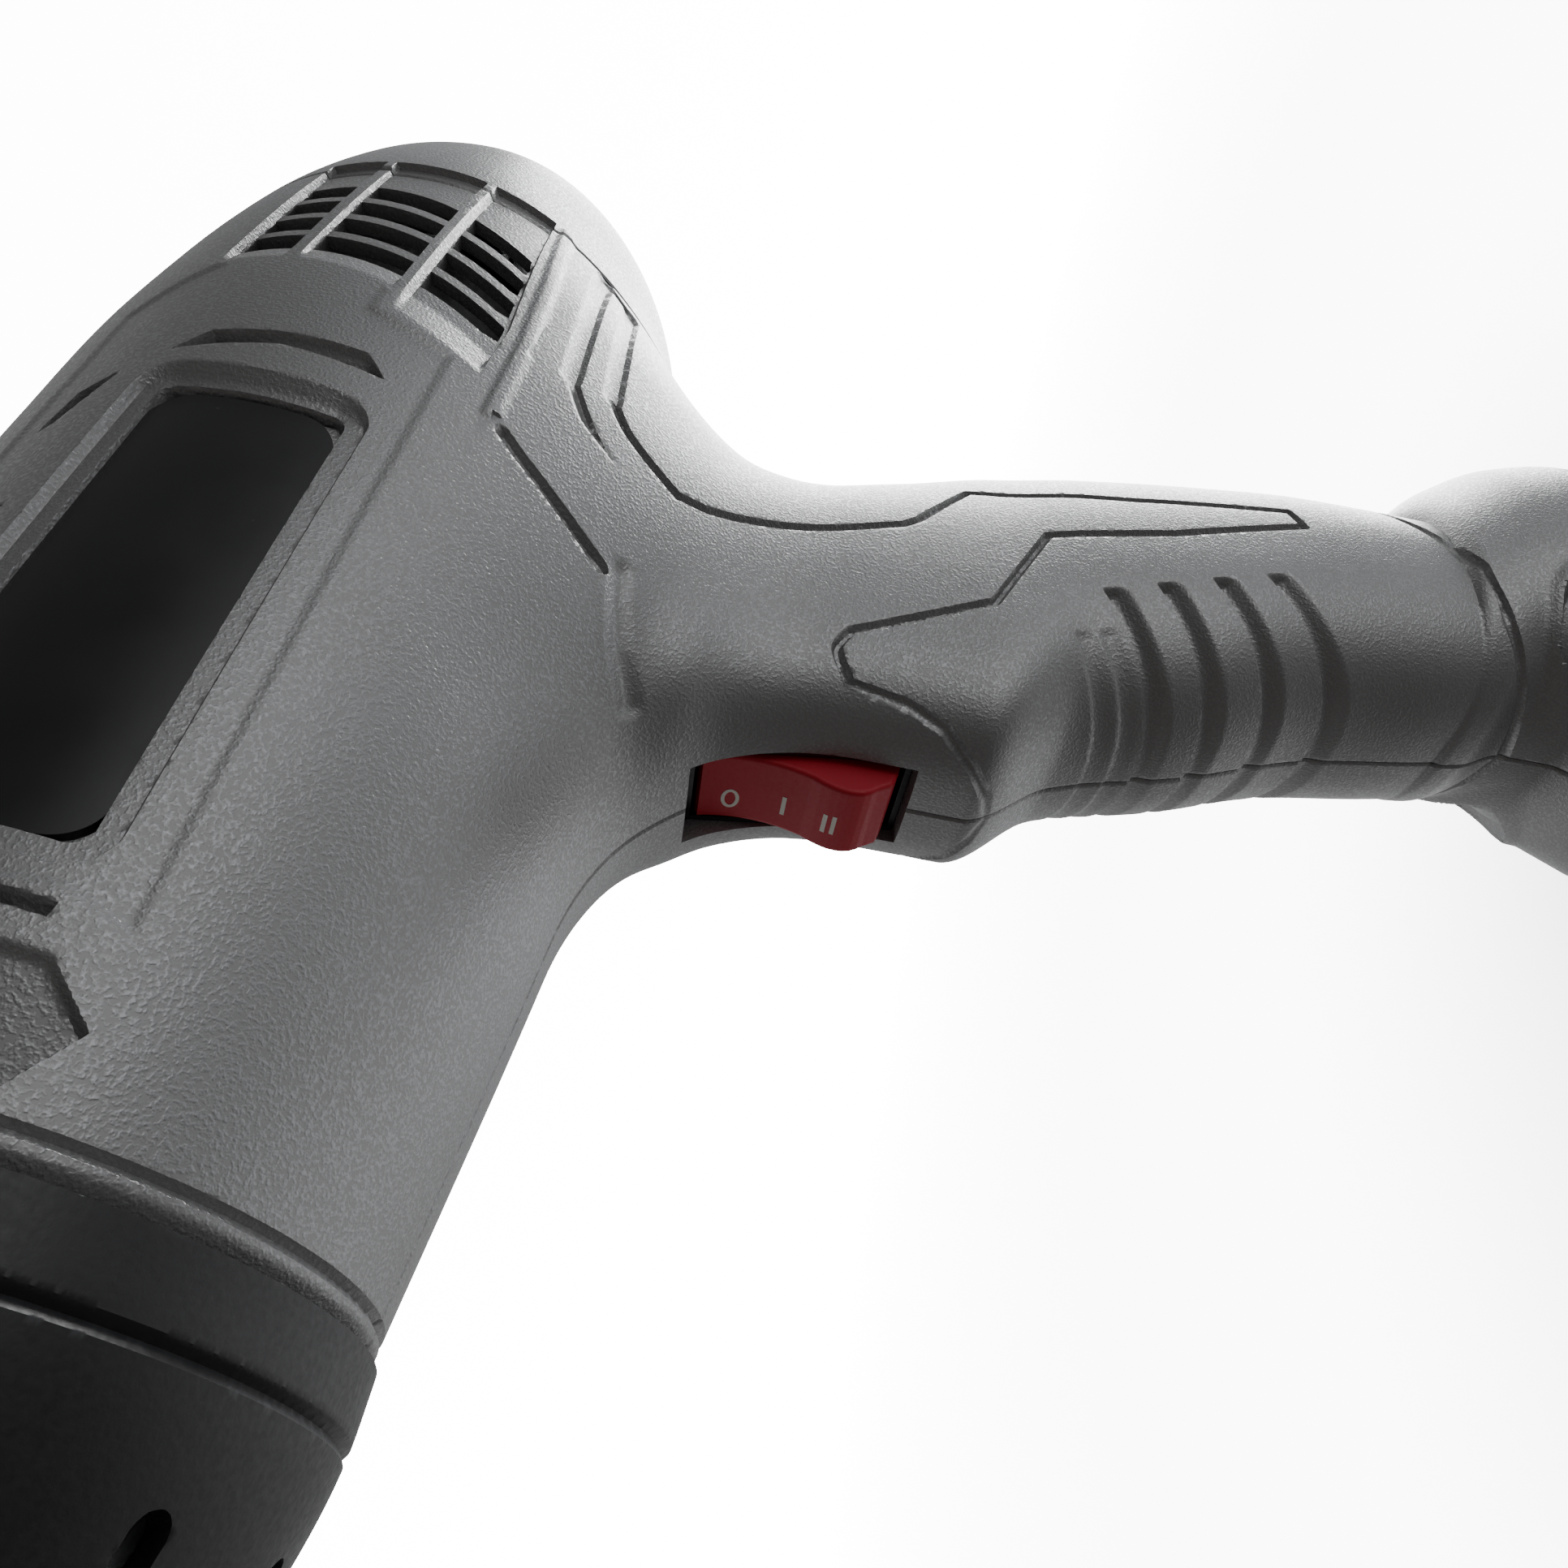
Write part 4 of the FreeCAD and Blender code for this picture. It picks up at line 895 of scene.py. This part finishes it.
def metal(name, colour, roughness, size=0.0012, contrast=0.85):
    """Bare metal with cloudy patches of about size metres."""
    s = Shader(name, colour, roughness, metallic=1.0)
    clouds = s.noise(size, 3.0)
    low = tuple(c * contrast for c in colour)
    s.colour(s.blend(s.spread(clouds, 0.3, 0.7, 0.0, 1.0), low, colour))
    s.roughness(s.spread(clouds, 0.3, 0.7, roughness - 0.07, roughness + 0.1))
    s.bump(clouds, 0.00002, 0.4)
    return s.material


# Colours of the hot tube from its cool end to its mouth.
HEAT_TINTS = [(0.25, (0.6, 0.585, 0.56)), (0.55, (0.62, 0.52, 0.36)), (0.75, (0.5, 0.33, 0.2)),
              (0.92, (0.25, 0.2, 0.26)), (1.0, (0.2, 0.24, 0.36))]


def nozzle_steel():
    """Stainless tube, straw and blue tinted towards its hot mouth."""
    s = Shader("nozzle_steel", (0.6, 0.58, 0.55), 0.28, metallic=1.0)
    clouds = s.noise(0.0012, 3.0)
    apart = s.tree.nodes.new("ShaderNodeSeparateXYZ")
    s.link(s.place, apart.inputs["Vector"])
    along = s.spread(apart.outputs["X"], 0.196, 0.2335, 0.0, 1.0)
    wave = s.noise(0.02, 2.0)
    mixed = s.tree.nodes.new("ShaderNodeMath")
    mixed.operation = "MULTIPLY_ADD"
    mixed.inputs[1].default_value = 0.22
    s.link(wave, mixed.inputs[0])
    s.link(along, mixed.inputs[2])
    ramp = ramp_node(s.tree, HEAT_TINTS)
    s.link(mixed.outputs["Value"], ramp.inputs["Fac"])
    s.colour(ramp.outputs["Color"])
    s.roughness(s.spread(clouds, 0.3, 0.7, 0.2, 0.36))
    s.bump(clouds, 0.00002, 0.35)
    return s.material


def speckled(name, colour, second, size, roughness):
    """A rough material of two mixed colours, in specks of about size metres."""
    s = Shader(name, colour, roughness)
    fine = s.noise(size, 4.0)
    s.colour(s.blend(s.spread(fine, 0.4, 0.62, 0.0, 1.0), colour, second))
    s.roughness(s.spread(fine, 0.3, 0.7, roughness - 0.06, roughness + 0.08))
    s.bump(fine, 0.00004, 0.5)
    return s.material


# Maker of each plain finish and its numbers.
FINISHES = {
    "black_plastic": (plain_plastic, (0.012, 0.012, 0.0135), 0.44, 0.0006, 0.00005),
    "switch_black": (plain_plastic, (0.010, 0.010, 0.011), 0.34),
    "switch_red": (plain_plastic, (0.42, 0.006, 0.02), 0.5, 0.0004, 0.000012, 1.1, 0.35),
    "steel": (metal, (0.58, 0.58, 0.58), 0.3),
    "dark_steel": (metal, (0.06, 0.06, 0.062), 0.4),
    "zinc_steel": (metal, (0.5, 0.51, 0.53), 0.36, 0.004, 0.75),
    "white_nylon": (plain_plastic, (0.66, 0.64, 0.58), 0.45, 0.0005, 0.00003, 1.08),
    "heat_plastic": (speckled, (0.03, 0.03, 0.032), (0.055, 0.055, 0.055), 0.0008, 0.5),
    "copper": (metal, (0.72, 0.33, 0.18), 0.28),
    "brass": (metal, (0.7, 0.52, 0.22), 0.3),
    "ferrite": (speckled, (0.035, 0.035, 0.04), (0.06, 0.06, 0.065), 0.0006, 0.6),
    "circuit_board": (speckled, (0.26, 0.17, 0.06), (0.32, 0.22, 0.09), 0.001, 0.5),
    "mica": (speckled, (0.42, 0.33, 0.2), (0.6, 0.52, 0.38), 0.0015, 0.35),
    "resistance_alloy": (metal, (0.26, 0.23, 0.21), 0.5),
    "ceramic": (speckled, (0.68, 0.63, 0.56), (0.75, 0.71, 0.65), 0.0012, 0.6),
    "black_rubber": (speckled, (0.012, 0.012, 0.012), (0.022, 0.022, 0.022), 0.0007, 0.65),
    "capacitor_yellow": (plain_plastic, (0.62, 0.4, 0.03), 0.4),
    "lead_red": (plain_plastic, (0.3, 0.02, 0.015), 0.5),
}
MATERIALS = {name: row[0](name, *row[1:]) for name, row in FINISHES.items()}
MATERIALS["silver_plastic"] = silver_plastic()
MATERIALS["gloss_black"] = gloss_black()
MATERIALS["nozzle_steel"] = nozzle_steel()


def finish_piece(piece, body, slot, *replaced):
    """Dress a piece, put it on its body and hide the CAD nodes that it stands for."""
    piece.data.materials.clear()
    piece.data.materials.append(MATERIALS[slot])
    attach(piece, body)
    if replaced:
        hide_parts(*replaced)


# ---- casing ----
# Boxes that hold one shell, the rear cap and the collar with room to spare.
SHELL_BOX = ((-1.0, -0.6, -183.2), (155.5, 42.0, 42.0))
CAP_BOX = ((-1.0, -42.0, -42.0), (33.0, 42.0, 42.0))
SHROUD_BOX = ((147.5, -34.5, -34.5), (193.0, 34.5, 34.5))


def make_skin(node, field, box, slot, mirrored=False):
    """The detailed skin that stands for a CAD node of the casing."""
    vertices, quads = contour(field, *box, CELL)
    if mirrored:
        vertices = vertices * np.array([1.0, -1.0, 1.0])
        quads = quads[:, ::-1]
    finish_piece(mesh_object(node + "_skin", vertices, quads), "body", slot, node)


make_skin("left_shell", shell_distance, SHELL_BOX, "silver_plastic")
make_skin("right_shell", right_shell_distance, SHELL_BOX, "silver_plastic", mirrored=True)
make_skin("rear_cap", cap_distance, CAP_BOX, "silver_plastic")
make_skin("front_shroud", shroud_distance, SHROUD_BOX, "black_plastic")


def lathe(name, outline, around=128):
    """A closed ring turned about the X axis from (x, radius) points."""
    vertices = []
    for k in range(around):
        turn = 2 * math.pi * k / around
        for x, radius in outline:
            vertices.append((x, radius * math.sin(turn), radius * math.cos(turn)))
    return mesh_object(name, vertices, strips(around, len(outline)), 30.0)


def make_nozzle():
    """The steel tube, its mouth rolled inwards."""
    inner = TUBE_R - TUBE_WALL
    body = TUBE_R - 0.2
    roll = TUBE_WALL
    flange = TUBE_START + TUBE_WALL
    mouth = [(TUBE_END - roll + roll * math.sin(t), TUBE_R - roll + roll * math.cos(t))
             for t in np.linspace(0.0, 1.35 * math.pi, 14)]
    outline = [(TUBE_START, inner), (TUBE_END - 3 * roll, inner)] + mouth[::-1]
    outline += [(SHROUD_END + 1.0, TUBE_R), (SHROUD_END, body), (flange, body),
                (flange, FLANGE_R), (TUBE_START, FLANGE_R)]
    finish_piece(lathe("nozzle_tube_skin", outline[::-1]), "body", "nozzle_steel", "nozzle_tube")


make_nozzle()


# ---- rocker with its marks ----
def from_switch(points):
    """Points in the switch's own axes, put in their place in the grip."""
    x, y, z = np.asarray(points, float).T
    c, s = math.cos(SWITCH_TILT), math.sin(SWITCH_TILT)
    return np.stack([SWITCH_CENTRE[0] + x * c + z * s, y, SWITCH_CENTRE[1] - x * s + z * c], -1)


def on_face(y, z, lift):
    """A point lift above the rocker's hollow face."""
    heights, reach = zip(*sorted((row[1], row[0]) for row in rocker_outline()[:-3]))
    return float(np.interp(z, heights, reach)) + lift, y, z


MARK_ROOT, MARK_TOP = -0.15, 0.05      # a mark's lower and upper side above the rocker's face


def mark(outer, inner=None):
    """A thin raised print: a bar of four corners, or the band between two outlines."""
    rings = [(outer, MARK_ROOT), (outer, MARK_TOP)]
    if inner:
        rings += [(inner, MARK_TOP), (inner, MARK_ROOT)]
    vertices = [on_face(y, z, lift) for ring, lift in rings for y, z in ring]
    if inner:
        return vertices, strips(4, len(outer))
    return vertices, strips(2, 4, closed=False) + [(3, 2, 1, 0), (4, 5, 6, 7)]


ROCKER_BOX = ((-6.0, -6.4, -12.8), (6.6, 6.4, 12.8))


def make_rocker():
    vertices, quads = contour(rocker_distance, *ROCKER_BOX, ROCKER_CELL)
    finish_piece(mesh_object("switch_rocker_skin", from_switch(vertices), quads), "rocker",
                 "switch_red", "switch_rocker")
    turns = np.linspace(0, 2 * math.pi, 32, endpoint=False)

    def oval(half_y, half_z):
        return [(-1.9 + half_y * math.cos(t), 7.8 + half_z * math.sin(t)) for t in turns]

    def bar(y, z):
        return [(y + 1.6, z - 0.25), (y + 1.6, z + 0.25), (y - 1.6, z + 0.25), (y - 1.6, z - 0.25)]

    vertices, faces = [], []
    for shape in (mark(oval(1.65, 1.1), oval(1.2, 0.65)), mark(bar(-1.2, 1.5)),
                  mark(bar(-0.95, -3.2)), mark(bar(-0.8, -4.25))):
        start = len(vertices)
        vertices += shape[0]
        faces += [tuple(start + i for i in face) for face in shape[1]]
    finish_piece(mesh_object("rocker_marks", from_switch(vertices), faces), "rocker", "white_nylon")


make_rocker()


# ---- CAD nodes that stay, with better materials ----
def dress_nodes():
    slots = {row["node"]: row["material_slot"] for row in frame["record"]["subparts"]}
    for name, node in frame["nodes"].items():
        node.data.materials.clear()
        node.data.materials.append(MATERIALS[slots[name]])


dress_nodes()


# ---- stage ----
FLOOR_Z = FOOT_BOTTOM - 1.5    # the gland reaches 1.5 mm below the foot
FLOOR_MIDDLE = 80.0
FLOOR_RADII = (200.0, 500.0, 1000.0, 1800.0)
WALL_CURVE = 900.0             # radius of the curve from the floor up into the wall
WALL_TOP = 3000.0
FAR_GLOW = 14.0                # glow of the floor a metre away, against 1 under the object


def make_floor():
    """A pale round floor that curves up into a wall all round."""
    rings = [(0.0, 0.0)] + [(r, 0.0) for r in FLOOR_RADII]
    rings += [(FLOOR_RADII[-1] + WALL_CURVE * math.sin(t), WALL_CURVE * (1 - math.cos(t)))
              for t in np.linspace(0.1, math.pi / 2, 14)]
    rings.append((FLOOR_RADII[-1] + WALL_CURVE, WALL_TOP))
    around = 96
    vertices = []
    for radius, height in rings:
        for k in range(around):
            turn = 2 * math.pi * k / around
            vertices.append((FLOOR_MIDDLE + radius * math.cos(turn), radius * math.sin(turn),
                             FLOOR_Z + height))
    floor = mesh_object("floor", vertices, strips(len(rings), around, closed=False), 60.0)
    s = Shader("floor_white", (0.8, 0.8, 0.8), 0.9)
    broad = s.noise(0.3, 2.0)
    s.colour(s.blend(broad, (0.79, 0.79, 0.79), (0.81, 0.81, 0.81)))
    s.out.inputs["Emission Color"].default_value = (1.0, 1.0, 1.0, 1.0)
    away = s.tree.nodes.new("ShaderNodeVectorMath")
    away.operation = "LENGTH"
    s.link(s.place, away.inputs[0])
    s.link(s.spread(away.outputs["Value"], 0.3, 1.0, 1.0, FAR_GLOW),
                     s.out.inputs["Emission Strength"])
    floor.data.materials.append(s.material)
    floor.visible_diffuse = False
    floor.visible_glossy = False


make_floor()


LIGHT_TARGET = (90.0, 0.0, -50.0)


def area_light(name, direction, distance, size, watts):
    """A round soft light that far away in a direction, facing the object."""
    data = bpy.data.lights.new(name, "AREA")
    data.shape = "DISK"
    data.size = size
    data.energy = watts
    lamp = add_object(name, data)
    away = Vector(direction).normalized()
    lamp.location = Vector(LIGHT_TARGET) * MM + away * distance
    lamp.rotation_mode = "QUATERNION"
    lamp.rotation_quaternion = away.to_track_quat("Z", "Y")
    return lamp


WINDOW = (-0.98, -0.08, -0.17)     # direction towards the soft window
WINDOW_WATTS = 34.0
FLOOR_WATTS = 420.0
GLOW = (-0.92, -0.10, -0.30)       # direction towards the bright side of the room
# The room's colour from the side away from the glow to the glow itself.
ROOM = [(0.0, (0.12, 0.114, 0.109)), (0.3, (0.10, 0.095, 0.092)), (0.5, (0.14, 0.137, 0.136)),
        (0.65, (0.19, 0.19, 0.19)), (0.78, (0.28, 0.285, 0.29)), (1.0, (1.0, 1.02, 1.05))]
# Weaker soft lights: direction, cosine where each begins, and brightness.
FILLS = [((-0.22, 0.93, -0.28), 0.86, 1.7), ((-0.35, -0.35, -0.87), 0.55, 0.8),
         ((0.25, -0.90, 0.35), 0.45, 0.5), ((-0.1, -0.5, 0.86), 0.5, 0.45)]


def facing(tree, place, direction):
    """Cosine between the view ray and a direction, for the world's nodes."""
    node = tree.nodes.new("ShaderNodeVectorMath")
    node.operation = "DOT_PRODUCT"
    node.inputs[1].default_value = Vector(direction).normalized()
    tree.links.new(place.outputs["Generated"], node.inputs[0])
    return node.outputs["Value"]


def make_lights():
    area_light("window", WINDOW, 1.1, 0.9, WINDOW_WATTS)
    above = area_light("floor_light", (0.0, 0.0, 1.0), 1.7, 1.2, FLOOR_WATTS)
    lit = bpy.data.collections.new("lit_by_floor_light")
    lit.objects.link(bpy.data.objects["floor"])
    above.light_linking.receiver_collection = lit
    world = bpy.data.worlds.new("studio")
    bpy.context.scene.world = world
    world.use_nodes = True
    tree = world.node_tree
    link = tree.links.new
    place = tree.nodes.new("ShaderNodeTexCoord")
    ramp = ramp_node(tree, ROOM)
    link(remap(tree, facing(tree, place, GLOW), (-1.0, 1.0, 0.0, 1.0)), ramp.inputs["Fac"])
    back = tree.nodes["Background"]
    link(ramp.outputs["Color"], back.inputs["Color"])
    back.inputs["Strength"].default_value = 1.0
    strength = None
    for direction, start, peak in FILLS:
        lobe = remap(tree, facing(tree, place, direction), (start, 1.0, 0.0, peak), "SMOOTHSTEP")
        if strength is not None:
            both = tree.nodes.new("ShaderNodeMath")
            link(strength, both.inputs[0])
            link(lobe, both.inputs[1])
            lobe = both.outputs["Value"]
        strength = lobe
    fill = tree.nodes.new("ShaderNodeBackground")
    fill.inputs["Color"].default_value = (0.98, 0.99, 1.0, 1.0)
    link(strength, fill.inputs["Strength"])
    total = tree.nodes.new("ShaderNodeAddShader")
    link(back.outputs["Background"], total.inputs[0])
    link(fill.outputs["Background"], total.inputs[1])
    link(total.outputs["Shader"], tree.nodes["World Output"].inputs["Surface"])


make_lights()


# ---- camera ----
CAMERA_PLACE = (176.26, 101.95, -55.0)
CAMERA_RIGHT = (-0.1318, 0.1410, -0.9812)
CAMERA_DOWN = (0.7371, -0.6479, -0.1921)
CAMERA_LENS = 26.05
CAMERA_SENSOR = 36.0


def make_camera():
    data = bpy.data.cameras.new("camera")
    data.sensor_width = CAMERA_SENSOR
    data.lens = CAMERA_LENS
    data.clip_start = 0.005
    data.clip_end = 50.0
    camera = add_object("camera", data)
    right = Vector(CAMERA_RIGHT).normalized()
    up = -Vector(CAMERA_DOWN)
    up = (up - right * up.dot(right)).normalized()
    back = right.cross(up)
    axes = Matrix((right, up, back)).transposed().to_4x4()
    camera.matrix_world = Matrix.Translation(Vector(CAMERA_PLACE) * MM) @ axes
    bpy.context.scene.camera = camera


make_camera()
